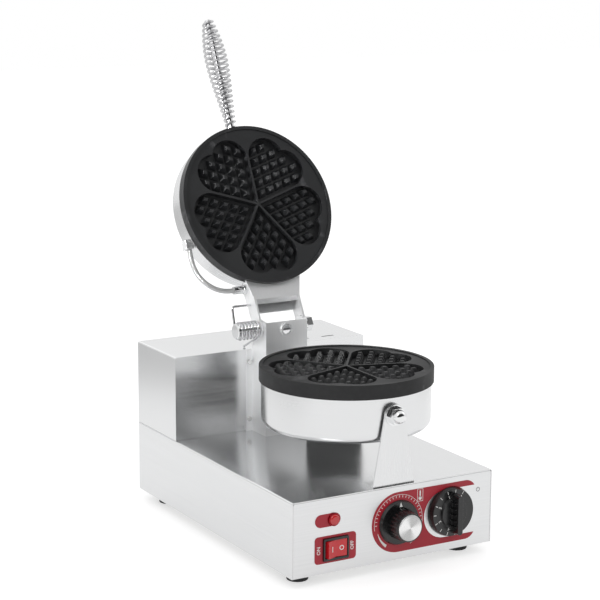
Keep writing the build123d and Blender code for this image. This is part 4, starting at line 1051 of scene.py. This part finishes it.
def ribbed_hose_tree() -> FormTree:
    """Make the tree for an armoured hose: a core with round ribs side by side.

    Returns:
        The tree, whose host is a line of points.
    """
    form = FormTree("RibbedHose")
    pitch, core, rib = form.asked("Pitch"), form.asked("Core Radius"), form.asked("Rib Radius")
    route = form.curve(form.given.outputs["Geometry"])
    core_ring = form.ring(core, sides=20)
    tube = form.swept(route, core_ring)
    points = form.add("GeometryNodeCurveToPoints", {"Curve": route, "Length": pitch},
                      mode="LENGTH")
    ribs = form.add("GeometryNodeInstanceOnPoints", {
        "Points": points.outputs["Points"],
        "Instance": form.swept(core_ring, form.ring(rib, sides=8), caps=False),
        "Rotation": points.outputs["Rotation"],
    })
    both = form.add("GeometryNodeJoinGeometry")
    form.tree.links.new(tube, both.inputs[0])
    form.tree.links.new(ribs.outputs[0], both.inputs[0])
    form.close(both.outputs[0])
    return form


def tick_ring_tree() -> FormTree:
    """Make the tree for marks in a ring: flat bars that point to the ring's centre.

    Returns:
        The tree, which needs no host.
    """
    form = FormTree("TickRing")
    count, radius = form.asked_count("Count"), form.asked("Radius")
    start, sweep = form.asked("Start"), form.asked("Sweep")
    size = form.vector(form.asked("Tick Length"), form.asked("Tick Width"),
                       form.asked("Tick Height"))
    angle = form.math("ADD", start, form.math("MULTIPLY", form.share(count), sweep))
    bars = form.add("GeometryNodeInstanceOnPoints", {
        "Points": form.line_round(count, radius, angle, 0.0),
        "Instance": form.add("GeometryNodeMeshCube", {"Size": size}).outputs[0],
        "Rotation": form.add("FunctionNodeEulerToRotation",
                             {0: form.vector(0.0, 0.0, angle)}).outputs[0],
    })
    form.close(bars.outputs[0])
    return form


@dataclass(frozen=True)
class TickRing:
    """Marks in a ring, in mm and degrees."""

    count: int
    radius: float
    start: float
    sweep: float
    length: float
    width: float

    def inputs(self, height: float, material: Material) -> dict[str, object]:
        """Give the inputs of the tree for marks in a ring.

        Args:
            height: The marks' thickness in metres.
            material: Their material.

        Returns:
            The inputs by their names.
        """
        return {
            "Count": self.count, "Radius": self.radius * MM, "Start": math.radians(self.start),
            "Sweep": math.radians(self.sweep), "Tick Length": self.length * MM,
            "Tick Width": self.width * MM, "Tick Height": height, "Material": material,
        }


def path_mesh(name: str, points: Iterable[Vector]) -> Mesh:
    """Make a mesh of points joined by edges, for a tree that follows them.

    Args:
        name: The mesh's name.
        points: The points in their order.

    Returns:
        The mesh.
    """
    mesh = bpy.data.meshes.new(name)
    places = [tuple(p) for p in points]
    mesh.from_pydata(places, [(i, i + 1) for i in range(len(places) - 1)], [])
    return mesh


def flat_piece(name: str, outline: Sequence[Point], lift: float, height: float,
               place: Matrix) -> Piece:
    """Make a thin flat plate from an outline on a working plane.

    Args:
        name: The new piece's name.
        outline: Corner points on the plane, in metres.
        lift: How far the plate's back stands off the plane.
        height: The plate's thickness.
        place: The plane's matrix.

    Returns:
        A closed plain mesh object.
    """
    work = bmesh.new()
    face = work.faces.new([work.verts.new((x, y, lift)) for x, y in outline])
    grown = bmesh.ops.extrude_face_region(work, geom=[face])
    top = [v for v in grown["geom"] if isinstance(v, bmesh.types.BMVert)]
    bmesh.ops.translate(work, verts=top, vec=(0, 0, height))
    bmesh.ops.recalc_face_normals(work, faces=work.faces[:])
    mesh = bpy.data.meshes.new(name)
    work.to_mesh(mesh)
    work.free()
    mesh.transform(place)
    return linked(name, mesh)


def polar(centre: Point, radius: float, degrees: float) -> Point:
    """Give the point at an angle on a circle round a centre."""
    angle = math.radians(degrees)
    return centre[0] + radius * math.cos(angle), centre[1] + radius * math.sin(angle)


def arc_band(centre: Point, inner: float, outer: float, start: float = 0.0, end: float = 359.9,
             thick_end: float | None = None, steps: int = 48) -> list[Point]:
    """Give the outline of a ring segment, which may grow thicker towards its end.

    Args:
        centre: The ring's centre on its plane, in metres.
        inner: The inner radius in mm.
        outer: The outer radius at the start.
        start: The start angle in degrees.
        end: The end angle in degrees.
        thick_end: The outer radius at the end, where it differs.
        steps: How many steps each side has.

    Returns:
        The outline's points.
    """
    last = outer if thick_end is None else thick_end
    out, back = [], []
    for i in range(steps + 1):
        share = i / steps
        angle = start + (end - start) * share
        out.append(polar(centre, (outer + (last - outer) * share) * MM, angle))
        back.append(polar(centre, inner * MM, angle))
    return out + back[::-1]


def around(spot: Point, corners: Iterable[Point]) -> list[Point]:
    """Give points on a plane, in metres, from their places round a spot in mm."""
    return [(spot[0] + x * MM, spot[1] + y * MM) for x, y in corners]


def block(low: Point, high: Point) -> list[Point]:
    """Give a rectangle's corners from its lowest and its highest one."""
    return [low, (high[0], low[1]), high, (low[0], high[1])]


def joined(name: str, parts: Sequence[Piece]) -> Piece:
    """Join plain mesh objects at the origin into one.

    Args:
        name: The new piece's name.
        parts: The objects, which are removed.

    Returns:
        The new piece.
    """
    work = bmesh.new()
    for part in parts:
        work.from_mesh(part.data)
        bpy.data.objects.remove(part)
    mesh = bpy.data.meshes.new(name)
    work.to_mesh(mesh)
    work.free()
    return linked(name, mesh)


def lettering(name: str, words: str, size: float, spot: Point, lift: float,
              turn: float) -> Piece:
    """Make plain raised lettering before the panel, such as a number on a dial.

    Args:
        name: The new piece's name.
        words: The characters.
        size: Their height in mm.
        spot: The middle of the lettering on the panel's plane.
        lift: How far it stands off the plane.
        turn: Its turn on the plane, in degrees.

    Returns:
        A plain mesh object.
    """
    curve = bpy.data.curves.new(name, "FONT")
    curve.body = words
    curve.size = size * MM
    curve.align_x = "CENTER"
    curve.align_y = "CENTER"
    curve.extrude = LETTER_DEPTH
    curve.offset = LETTER_WEIGHT
    curve.resolution_u = 3
    text = bpy.data.objects.new(f"{name}_text", curve)
    bpy.context.scene.collection.objects.link(text)
    piece = flattened(text, name)
    turned = Matrix.Rotation(math.radians(turn), 4, "Z")
    piece.data.transform(PANEL @ (Matrix.Translation((*spot, lift)) @ turned))
    return piece


@dataclass
class Casing:
    """The base, its panel, the rear housing, the hinge stand, the bracket and what is inside."""

    edges: SoftEdges = SoftEdges()
    small_edges: SoftEdges = FINE_EDGES

    def build(self, finishes: Finishes) -> None:
        """Round the visible sheet parts and dress the small and the hidden ones.

        Args:
            finishes: The materials.
        """
        for node, material, slot in (
            ("base_shell", "sheet_steel", "brushed_steel"),
            ("front_panel", "panel_steel", "brushed_steel"),
            ("rear_housing", "housing_steel", "brushed_steel"),
            ("hinge_stand", "stand_steel", "polished_steel"),
            ("front_bracket", "bracket_steel", "brushed_steel"),
            ("rear_carrier", "sheet_steel", "brushed_steel"),
        ):
            edges = self.small_edges if node == "front_panel" else self.edges
            SoftCopy(node, material, slot, edges).build(finishes)
        for node in ("bracket_cap_nut", "bracket_washer", "hinge_pin", "hinge_nut"):
            SoftCopy(node, "chrome", "chrome", self.small_edges).build(finishes)
        for material, nodes in {
            "inner_steel": ("bottom_plate", "thermostat_body", "timer_body", "lower_reflector",
                            "lid_reflector", "lower_element", "lid_element"),
            "screw_steel": ("bracket_bolt", "bracket_spacer", "lower_tie_screws",
                            "lid_tie_screws", "foot_screws", "handle_nut", "thermostat_shaft",
                            "timer_shaft", "stand_screws", "bracket_screws"),
            "mineral_mat": ("lower_insulation", "lid_insulation"),
            "white_plastic": ("terminal_block",),
        }.items():
            for node in nodes:
                dress(node, finishes[material])


@dataclass
class Pan:
    """The fixed lower dish with its baking plate."""

    shell_edges: SoftEdges = SPUN_EDGES
    plate_edges: SoftEdges = PLATE_EDGES

    def build(self, finishes: Finishes) -> None:
        """Make the dish and the plate.

        Args:
            finishes: The materials.
        """
        SoftCopy("lower_shell", "spun_pan", "brushed_steel", self.shell_edges).build(finishes)
        # The plate's coating has a darker tone as painted shade.
        SoftCopy("lower_plate", "pan_coating", "nonstick", self.plate_edges).build(finishes)


@dataclass
class LidSide:
    """The lid: dish, plate, bracket, armoured lead and its fittings. The lead's sizes are in mm."""

    elbow_edges: SoftEdges = SoftEdges(width=0.6, segments=3)
    connector_edges: SoftEdges = SoftEdges(width=0.3)
    lead_radius: float = 3.0
    rib_radius: float = 0.55
    rib_pitch: float = 1.25
    bend_radius: float = 40.0
    bend_steps: int = 24

    def build(self, finishes: Finishes) -> None:
        """Make the lid's visible parts.

        Args:
            finishes: The materials.
        """
        for node, material, slot, edges in (
            ("lid_shell", "spun_lid", "brushed_steel", SPUN_EDGES),
            ("lid_plate", "lid_coating", "nonstick", PLATE_EDGES),
            ("lid_bracket", "stand_steel", "polished_steel", SoftEdges()),
            ("lead_elbow", "stand_steel", "polished_steel", self.elbow_edges),
            ("lead_connector", "chrome", "polished_steel", self.connector_edges),
        ):
            SoftCopy(node, material, slot, edges, Body.LID).build(finishes)
        self.lead(finishes)

    def lead(self, finishes: Finishes) -> None:
        """Wind the ribbed lead along its route.

        Args:
            finishes: The materials.
        """
        piece = ribbed_hose_tree().make("lid_lead_hose", {
            "Pitch": self.rib_pitch * MM,
            "Core Radius": (self.lead_radius - self.rib_radius) * MM,
            "Rib Radius": self.rib_radius * MM,
            "Material": finishes["lead_armour"],
        }, path_mesh("lead_route", self.lead_route()))
        finish_piece(piece, Body.LID, None, ["lid_lead"])

    def lead_route(self) -> list[Vector]:
        """Follow the lead's middle line: down from the elbow, round a bend, to the connector.

        Returns:
            Points in the frame.
        """
        to_lid = LID.inverted()
        top = to_lid @ centre_of("lead_elbow")
        end = to_lid @ centre_of("lead_connector")
        low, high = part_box("lid_lead")
        bend = self.bend_radius * MM
        left = low.x + self.lead_radius * MM
        centre = Vector((left + bend, end.y + bend, end.z))
        points = [Vector((left, top.y, end.z)), Vector((left, centre.y, end.z))]
        for i in range(1, self.bend_steps):
            angle = math.pi + math.pi / 2 * i / self.bend_steps
            points.append(centre + Vector((bend * math.cos(angle), bend * math.sin(angle), 0)))
        points.append(Vector((centre.x, end.y, end.z)))
        points.append(Vector((high.x, end.y, end.z)))
        return [LID @ p for p in points]


@dataclass
class CoilHandle:
    """The wound wire grip on its rod, with the collar at the lid, in mm on the lid's plane."""

    depth: float = 25.0
    start: float = 103.0
    end: float = 236.1
    turns: float = 21.0
    steps_per_turn: int = 28
    end_radius: float = 5.5
    wide_radius: float = 12.4
    wide_at: float = 0.62
    wire_radius: float = 1.4
    rod_edges: SoftEdges = SoftEdges(width=0.5, segments=3)

    def build(self, finishes: Finishes) -> None:
        """Wind the grip and round the rod and the collar.

        Args:
            finishes: The materials.
        """
        foot = LID @ Vector((0, self.start * MM, -self.depth * MM))
        grip = swelling_coil_tree().make("handle_coil_wound", {
            "Steps": int(self.turns * self.steps_per_turn) + 1,
            "Turns": self.turns,
            "Length": (self.end - self.start) * MM,
            "End Radius": self.end_radius * MM,
            "Wide Radius": self.wide_radius * MM,
            "Skew": math.log(0.5) / math.log(self.wide_at),
            "Wire Radius": self.wire_radius * MM,
            "Material": finishes["wire_chrome"],
        }, place=placed(foot, SIDEWAYS, LID_UP))
        finish_piece(grip, Body.LID, None, ["handle_coil"])
        for node in ("handle_rod", "handle_ferrule"):
            SoftCopy(node, "wire_chrome", "chrome", self.rod_edges, Body.LID).build(finishes)


@dataclass
class HingeSpring:
    """The torsion spring, in mm: a coil with its leg, and a last turn with its hook on the lid."""

    coil_radius: float = 9.4
    wire_radius: float = 1.4
    turns: float = 4.5
    hook_turns: float = 11 / 12
    steps_per_turn: int = 30
    leg_in: float = 10.0
    hook_along: float = 30.0
    hook_behind: float = 4.0
    bend_radius: float = 3.36
    bend_steps: int = 8

    def build(self, finishes: Finishes) -> None:
        """Make the two wires.

        Args:
            finishes: The materials.
        """
        tree = wire_path_tree()
        wire = {"Wire Radius": self.wire_radius * MM, "Material": finishes["wire_chrome"]}
        coil = tree.make("hinge_spring_coil", wire, path_mesh("spring_route", self.coil_route()))
        finish_piece(coil, Body.BASE, None, ["hinge_spring"])
        hook = tree.make("hinge_spring_hook", wire, path_mesh("hook_route", self.hook_route()))
        finish_piece(hook, Body.LID, None, ["spring_lid_leg"])

    def coil_route(self) -> list[Vector]:
        """Follow the coil on the base, with its leg on top of the rear housing.

        Returns:
            Points in the frame.
        """
        radius = self.wire_radius * MM
        low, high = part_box("hinge_spring")
        housing_low, housing_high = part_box("rear_housing")
        leg_end = Vector((high.x - radius, housing_low.y + self.leg_in * MM,
                          housing_high.z + radius))
        return [*self.winding(low.x + radius, high.x - radius, leg_end, self.turns), leg_end]

    def hook_route(self) -> list[Vector]:
        """Follow the turn that rides on the lid, with its leg and its hook behind the lid.

        Returns:
            Points in the frame.
        """
        low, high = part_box("spring_lid_leg")
        ring_x = low.x + self.wire_radius * MM
        hook = HINGE + LID_UP * self.hook_along * MM - LID_NORMAL * self.hook_behind * MM
        bend = Vector((ring_x, hook.y, hook.z))
        turn = self.winding(ring_x, ring_x, bend, self.hook_turns)
        return [*turn, *self.corner(turn[-1], bend, Vector((high.x, hook.y, hook.z)))]

    def winding(self, start_x: float, end_x: float, leg_end: Vector,
                turns: float) -> list[Vector]:
        """Follow turns about the hinge that end where a straight leg leaves for its end.

        Args:
            start_x: Where the turns start along the hinge.
            end_x: Where they end along the hinge.
            leg_end: The leg's end.
            turns: How many turns there are.

        Returns:
            Points in the frame.
        """
        out_y, out_z = leg_end.y - HINGE.y, leg_end.z - HINGE.z
        reach = self.coil_radius * MM
        last = math.atan2(out_z, out_y) - math.acos(reach / math.hypot(out_y, out_z))
        steps = round(turns * self.steps_per_turn)
        points = []
        for i in range(steps + 1):
            angle = last - 2 * math.pi * turns * (steps - i) / steps
            across = start_x + (end_x - start_x) * i / steps
            points.append(Vector((across, HINGE.y + reach * math.cos(angle),
                                  HINGE.z + reach * math.sin(angle))))
        return points

    def corner(self, before: Vector, bend: Vector, after: Vector) -> list[Vector]:
        """Round a wire's corner with a small bend.

        Args:
            before: The point before the corner.
            bend: The corner.
            after: The point after the corner.

        Returns:
            The points of the bend, and the one after it.
        """
        start = bend + (before - bend).normalized() * self.bend_radius * MM
        end = bend + (after - bend).normalized() * self.bend_radius * MM
        curve = []
        for i in range(self.bend_steps + 1):
            share = i / self.bend_steps
            rest = 1 - share
            curve.append(start * rest**2 + bend * 2 * share * rest + end * share**2)
        return [*curve, after]


@dataclass
class Feet:
    """The rubber feet and the cable gland."""

    feet_edges: SoftEdges = SoftEdges(width=0.8, segments=3)
    gland_edges: SoftEdges = SoftEdges(width=0.4)

    def build(self, finishes: Finishes) -> None:
        """Make both with rounded edges.

        Args:
            finishes: The materials.
        """
        SoftCopy("rubber_feet", "rubber", "rubber", self.feet_edges).build(finishes)
        SoftCopy("cable_gland", "black_plastic", "black_plastic",
                 self.gland_edges).build(finishes)


def panel_spot(node: str) -> Point:
    """Give a node's middle on the panel's plane."""
    middle = PANEL.inverted() @ centre_of(node)
    return middle.x, middle.y


@dataclass
class Printing:
    """Marks of ink before the panel, in mm: they lie on a film or on the front of a control."""

    finishes: Finishes
    ticks: FormTree
    film: float = 0.4
    ink: float = 0.06

    def mark(self, name: str, outline: Sequence[Point], lift: float,
             place: Matrix = PANEL) -> Piece:
        """Make one flat mark, whose back stands off its plane by the lift in mm."""
        return flat_piece(name, outline, lift * MM, self.ink * MM, place)

    def tick_marks(self, name: str, ring: TickRing, spot: Point, lift: float) -> Piece:
        """Make marks in a ring.

        Args:
            name: The new piece's name.
            ring: The marks.
            spot: The ring's centre on the panel's plane.
            lift: How far their backs stand off the plane, in mm.

        Returns:
            A plain mesh object.
        """
        middle = Matrix.Translation((*spot, (lift + self.ink / 2) * MM))
        inputs = ring.inputs(self.ink * MM, self.finishes["white_ink"])
        return self.ticks.make(name, inputs, place=PANEL @ middle)

    def print_white(self, name: str, marks: Sequence[Piece], body: Body = Body.BASE) -> None:
        """Join marks into one piece of white ink."""
        finish_piece(joined(name, marks), body, self.finishes["white_ink"])

    def print_dark(self, name: str, marks: Sequence[Piece]) -> None:
        """Join marks into one piece of dark ink on the base."""
        finish_piece(joined(name, marks), Body.BASE, self.finishes["dark_ink"])


@dataclass
class ThermostatMarks(Printing):
    """The scale round the temperature knob, its thermometer sign and the knob's line."""

    line: Span = (30.0, 30.4)
    line_angles: Span = (-60.0, 190.0)
    wedge: tuple[float, float, float] = (27.0, 27.5, 30.0)
    wedge_angles: Span = (200.0, 238.0)
    scale: TickRing = TickRing(count=25, radius=28.2, start=-20.0, sweep=200.0, length=2.4,
                               width=0.6)
    sign_at: Point = (27.0, 26.5)
    sign_low: Point = (-3.4, -7.4)
    sign_high: Point = (3.4, 6.0)
    sign_line: float = 0.25
    stem_low: Point = (-0.8, -3.2)
    stem_high: Point = (0.8, 4.2)
    bulb_at: Point = (0.0, -4.2)
    bulb_radius: float = 2.0
    bulb_sides: int = 24
    knob_front: float = 4.9
    pointer: tuple[Point, ...] = ((-1.9, 17.9), (1.9, 17.9), (0.25, 22.6), (-0.25, 22.6))

    def print_scale(self) -> None:
        """Print the scale and the sign on the film."""
        spot = panel_spot("thermostat_cap")
        inner, thin_end, thick_end = self.wedge
        line = arc_band(spot, *self.line, *self.line_angles)
        wedge = arc_band(spot, inner, thin_end, *self.wedge_angles, thick_end)
        self.print_white("thermostat_scale", [
            self.mark("scale_line", line, self.film),
            self.mark("scale_wedge", wedge, self.film),
            self.tick_marks("scale_ticks", self.scale, spot, self.film),
            *self.sign(around(spot, [self.sign_at])[0]),
        ])

    def sign(self, spot: Point) -> list[Piece]:
        """Make the thermometer in its frame.

        Args:
            spot: The sign's middle on the panel's plane.

        Returns:
            The marks.
        """
        marks = []
        corners = block(self.sign_low, self.sign_high)
        for (x, y), (next_x, next_y) in zip(corners, corners[1:] + corners[:1]):
            across, along = (self.sign_line, 0.0) if x == next_x else (0.0, self.sign_line)
            side = ((x - across, y - along), (next_x - across, next_y - along),
                    (next_x + across, next_y + along), (x + across, y + along))
            marks.append(self.mark("icon_frame", around(spot, side), self.film))
        stem = around(spot, block(self.stem_low, self.stem_high))
        marks.append(self.mark("icon_stem", stem, self.film))
        bulb_at = around(spot, [self.bulb_at])[0]
        bulb = [polar(bulb_at, self.bulb_radius * MM, 360.0 * i / self.bulb_sides)
                for i in range(self.bulb_sides)]
        marks.append(self.mark("icon_bulb", bulb, self.film))
        return marks

    def print_pointer(self) -> None:
        """Print the line on the knob's front."""
        outline = around(panel_spot("thermostat_cap"), self.pointer)
        pointer = self.mark("pointer", outline, self.knob_front)
        self.print_white("thermostat_pointer", [pointer], Body.THERMOSTAT)


@dataclass
class TimerMarks(Printing):
    """The timer's sign on the panel, and the ticks and numbers on its knob's skirt."""

    sign_at: Point = (36.7, 18.5)
    sign_ring: Span = (1.9, 2.5)
    hand_low: Point = (-0.25, -0.2)
    hand_high: Point = (0.25, 1.5)
    skirt_front: float = 7.4
    scale: TickRing = TickRing(count=11, radius=23.6, start=60.0, sweep=240.0, length=3.4,
                               width=0.7)
    numbers: int = 6
    number_start: float = 60.0
    number_step: float = 48.0
    number_radius: float = 18.6
    number_size: float = 4.4

    def print_sign(self) -> None:
        """Print a ring with a hand on the panel's bare steel."""
        spot = around(panel_spot("timer_knob"), [self.sign_at])[0]
        hand = around(spot, block(self.hand_low, self.hand_high))
        self.print_dark("timer_icon", [
            self.mark("icon_clock", arc_band(spot, *self.sign_ring), 0.0),
            self.mark("icon_hand", hand, 0.0),
        ])

    def print_numbers(self) -> None:
        """Print the ticks and the numbers, whose feet point to the knob's centre."""
        spot = panel_spot("timer_knob")
        marks = [self.tick_marks("timer_ticks", self.scale, spot, self.skirt_front)]
        for i in range(self.numbers):
            angle = self.number_start + self.number_step * i
            at = polar(spot, self.number_radius * MM, angle)
            marks.append(lettering(f"timer_number_{i}", str(i), self.number_size, at,
                                   self.skirt_front * MM, angle - 90.0))
        self.print_white("timer_numbers", marks, Body.TIMER)


@dataclass
class SwitchMarks(Printing):
    """The words beside the switch, and the bar and the ring on its rocker."""

    word_size: float = 5.6
    word_out: float = 20.3
    tilt: float = math.radians(8.0)
    slope: float = math.atan2(2.5, 12.0)
    pivot_depth: float = 3.0
    mark_out: float = 6.0
    mark_front: float = 5.65
    bar: Point = (0.5, 3.0)
    ring: Span = (1.8, 2.6)

    def print_words(self) -> None:
        """Print the two words on the film."""
        x, y = panel_spot("switch_housing")
        self.print_white("switch_words", [
            lettering(name, word, self.word_size, (x + side * self.word_out * MM, y),
                      self.film * MM, 90.0)
            for name, word, side in (("on_word", "ON", -1), ("off_word", "OFF", 1))
        ])

    def print_rocker(self) -> None:
        """Print the bar and the ring on the rocker's two slopes."""
        width, height = self.bar
        bar = around((0.0, 0.0), block((-width, -height), (width, height)))
        ring = arc_band((0.0, 0.0), *self.ring)
        self.print_white("rocker_marks", [
            self.mark("rocker_bar", bar, 0.0, self.rocker_slope(-1)),
            self.mark("rocker_ring", ring, 0.0, self.rocker_slope(1)),
        ], Body.ROCKER)

    def rocker_slope(self, side: int) -> Matrix:
        """Find one of the rocker's two slopes.

        Args:
            side: -1 for the left slope and 1 for the right one.

        Returns:
            The matrix of the working plane in the slope's middle.
        """
        pivot = Vector((centre_of("switch_housing").x, FRONT_Y + self.pivot_depth * MM,
                        centre_of("switch_rocker").z))
        angle = self.tilt - side * self.slope
        across = Vector((math.cos(angle), math.sin(angle), 0))
        local = Vector((side * self.mark_out * MM, -self.mark_front * MM, 0))
        middle = pivot + Matrix.Rotation(self.tilt, 3, "Z") @ local
        return placed(middle, across, across.cross(Vector((0, 0, 1))))


@dataclass
class Controls:
    """The printed films, the two knobs, the switch and the lamp, with their marks."""

    films: tuple[str, ...] = ("control_overlay", "switch_overlay", "lamp_overlay")

    def build(self, finishes: Finishes) -> None:
        """Make the films, the knobs, the switch and the lamp, and print their marks.

        Args:
            finishes: The materials.
        """
        for node in self.films:
            SoftCopy(node, "red_film", "red_overlay", FILM_EDGES).build(finishes)
        for node, material, slot, width, body in (
            ("switch_housing", "black_plastic", "black_plastic", 0.35, Body.BASE),
            ("switch_rocker", "red_plastic", "red_plastic", 0.5, Body.ROCKER),
            ("lamp_body", "lamp_bezel", "chrome", 0.3, Body.BASE),
            ("lamp_lens", "red_lens", "red_lens", 0.2, Body.BASE),
            ("thermostat_knob", "black_plastic", "black_plastic", 0.4, Body.THERMOSTAT),
            ("thermostat_cap", "spun_cap", "spun_aluminium", 0.3, Body.THERMOSTAT),
        ):
            edges = SoftEdges(width=width, segments=3)
            SoftCopy(node, material, slot, edges, body).build(finishes)
        SoftCopy("timer_knob", "black_plastic", "black_plastic", body=Body.TIMER).build(finishes)
        ticks = tick_ring_tree()
        thermostat = ThermostatMarks(finishes, ticks)
        timer = TimerMarks(finishes, ticks)
        switch = SwitchMarks(finishes, ticks)
        thermostat.print_scale()
        timer.print_sign()
        thermostat.print_pointer()
        timer.print_numbers()
        switch.print_words()
        switch.print_rocker()


@dataclass
class Studio:
    """The camera at the photograph's place, a pale floor and soft light, in metres."""

    camera_at: tuple[float, float, float] = (-1.0364, -1.7751, 0.6799)
    yaw: float = 0.528671
    pitch: float = 0.203028
    roll: float = 0.005565
    lens: float = 112.11
    sensor: float = 36.0
    floor_size: float = 12.0
    floor_tone: float = 0.60
    floor_roughness: float = 0.9
    daylight: float = 0.92
    mirrored_room: float = 0.92
    dark_front: float = 0.03
    floor_seen: float = 0.55
    floor_mirrored: float = 0.40
    floor_back: float = 0.04
    glint_power: float = 420.0
    glint_radius: float = 0.22
    glint_cone: float = math.radians(8.6)
    glint_blend: float = 0.6

    def build(self) -> None:
        """Make the camera, the floor, the world and the lamps."""
        self.camera()
        self.floor()
        self.world()
        self.soft_lamp("key", (-1.6, -1.2, 2.4), size=1.2, power=8.0)
        self.soft_lamp("fill", (1.9, -0.6, 1.6), size=1.4, power=2.5)
        self.soft_lamp("rim", (0.3, 2.2, 1.9), size=1.6, power=3.0)
        self.spot("glint", (-1.52, -0.06, 0.83))
        bpy.context.scene.view_settings.view_transform = "Standard"

    def camera(self) -> None:
        """Set the camera from its yaw, pitch and roll."""
        level = math.cos(self.pitch)
        ahead = Vector((math.sin(self.yaw) * level, math.cos(self.yaw) * level,
                        -math.sin(self.pitch)))
        right = Vector((math.cos(self.yaw), -math.sin(self.yaw), 0))
        up = right.cross(ahead)
        right_rolled = right * math.cos(self.roll) + up * math.sin(self.roll)
        up_rolled = up * math.cos(self.roll) - right * math.sin(self.roll)
        columns = (right_rolled, up_rolled, -ahead)
        rows = [(*(c[i] for c in columns), self.camera_at[i]) for i in range(3)]
        data = bpy.data.cameras.new("view")
        data.lens = self.lens
        data.sensor_width = self.sensor
        camera = bpy.data.objects.new("view", data)
        bpy.context.scene.collection.objects.link(camera)
        camera.matrix_world = Matrix([*rows, (0.0, 0.0, 0.0, 1.0)])
        bpy.context.scene.camera = camera

    def floor(self) -> None:
        """Make a wide pale floor that shows white to the camera and keeps the shadow."""
        half = self.floor_size / 2
        corners = [(-half, -half, 0), (half, -half, 0), (half, half, 0), (-half, half, 0)]
        mesh = bpy.data.meshes.new("floor")
        mesh.from_pydata(corners, [], [(0, 1, 2, 3)])
        floor = linked("floor", mesh)
        surface = Surface("floor")
        surface.feed(surface.shader, {
            "Base Color": grey(self.floor_tone), "Roughness": self.floor_roughness,
            "Specular IOR Level": 0.0,
        })
        glow = surface.add("ShaderNodeEmission",
                           {"Color": WHITE, "Strength": self.floor_glow(surface)})
        both = surface.add("ShaderNodeAddShader",
                           {0: surface.shader.outputs[0], 1: glow.outputs[0]})
        output = surface.tree.nodes["Material Output"]
        surface.feed(output, {"Surface": both.outputs[0]})
        mesh.materials.append(surface.material)

    def floor_glow(self, surface: Surface) -> Socket:
        """Give the floor's glow, which is plain to the camera and fades to the back in mirrors.

        Args:
            surface: The floor material's writer.

        Returns:
            The glow's strength.
        """
        path = surface.add("ShaderNodeLightPath")
        far = surface.ramp(surface.length(surface.place), low=0.5, high=1.1)
        back = surface.ramp(surface.apart(surface.place).outputs["Y"], low=-0.7, high=0.3)
        shade = surface.ramp(surface.math("MULTIPLY", far, back), 0.0, 1.0, self.floor_mirrored,
                             self.floor_back)
        seen = surface.math("MULTIPLY", path.outputs["Is Camera Ray"], self.floor_seen)
        mirrored = surface.math("MULTIPLY", path.outputs["Is Glossy Ray"], shade)
        through = surface.math("MULTIPLY", path.outputs["Is Transmission Ray"], self.floor_seen)
        return surface.math("ADD", surface.math("ADD", seen, mirrored), through)

    def world(self) -> None:
        """Make a white room whose front, behind the camera, is dark in reflections."""
        world = bpy.data.worlds.new("studio")
        world.use_nodes = True
        bpy.context.scene.world = world
        world.node_tree.nodes.clear()
        tree = ShaderTree(world.node_tree)
        mirrored = tree.ramp(self.front(tree), 0.0, 1.0, self.mirrored_room, self.dark_front)
        lit, seen, glossy = (
            tree.add("ShaderNodeBackground", {"Color": WHITE, "Strength": strength}).outputs[0]
            for strength in (self.daylight, 1.0, mirrored)
        )
        path = tree.add("ShaderNodeLightPath")
        shiny = tree.math("MAXIMUM", path.outputs["Is Glossy Ray"],
                          path.outputs["Is Transmission Ray"])
        first = tree.add("ShaderNodeMixShader", {0: shiny, 1: lit, 2: glossy}).outputs[0]
        last = tree.add("ShaderNodeMixShader",
                        {0: path.outputs["Is Camera Ray"], 1: first, 2: seen}).outputs[0]
        tree.add("ShaderNodeOutputWorld", {"Surface": last})

    def front(self, tree: ShaderTree) -> Socket:
        """Find the part of the room behind the camera, between the floor and the ceiling.

        Args:
            tree: The world's writer.

        Returns:
            1 there, 0 elsewhere, and smooth between.
        """
        way = tree.apart(tree.add("ShaderNodeTexCoord").outputs["Generated"])
        forward = tree.math("MULTIPLY", way.outputs["Y"], -1.0)
        towards_front = tree.ramp(forward, low=0.30, high=0.75)
        raised = tree.ramp(way.outputs["Z"], low=0.0, high=0.16)
        lowered = tree.ramp(way.outputs["Z"], 0.75, 0.95, to_low=1.0, to_high=0.0)
        return tree.math("MULTIPLY", tree.math("MULTIPLY", towards_front, raised), lowered)

    def spot(self, name: str, place: tuple[float, float, float]) -> None:
        """Aim a narrow lamp at the open lid's plate, for the glints on its pegs.

        Args:
            name: The lamp's name.
            place: Where it hangs.
        """
        data = bpy.data.lights.new(name, "SPOT")
        data.energy = self.glint_power
        data.shadow_soft_size = self.glint_radius
        data.spot_size = self.glint_cone
        data.spot_blend = self.glint_blend
        self.hang(data, place, LID_ORIGIN)

    def soft_lamp(self, name: str, place: tuple[float, float, float], size: float,
                  power: float) -> None:
        """Hang a soft square lamp that points at the middle of the part.

        Args:
            name: The lamp's name.
            place: Where it hangs.
            size: Its width.
            power: Its power in watts.
        """
        data = bpy.data.lights.new(name, "AREA")
        data.size = size
        data.energy = power
        self.hang(data, place, (CAD_BOX[0] + CAD_BOX[1]) / 2)

    @staticmethod
    def hang(data: bpy.types.Light, place: tuple[float, float, float], aim: Vector) -> None:
        """Hang a lamp at its place and point it.

        Args:
            data: The lamp's data.
            place: Where it hangs.
            aim: The point that it shines at.
        """
        lamp = bpy.data.objects.new(data.name, data)
        bpy.context.scene.collection.objects.link(lamp)
        lamp.location = place
        lamp.rotation_mode = "QUATERNION"
        lamp.rotation_quaternion = (Vector(place) - aim).to_track_quat("Z", "Y")


def main() -> None:
    """Build every sub-assembly in order, then the studio."""
    logging.basicConfig(level=logging.INFO, format="%(name)s: %(message)s")
    finishes = Finishes(Effects())
    for part in (Casing(), Pan(), LidSide(), CoilHandle(), HingeSpring(), Feet(), Controls()):
        LOG.info("building %s", type(part).__name__)
        part.build(finishes)
    Studio().build()


if __name__ == "__main__":
    main()
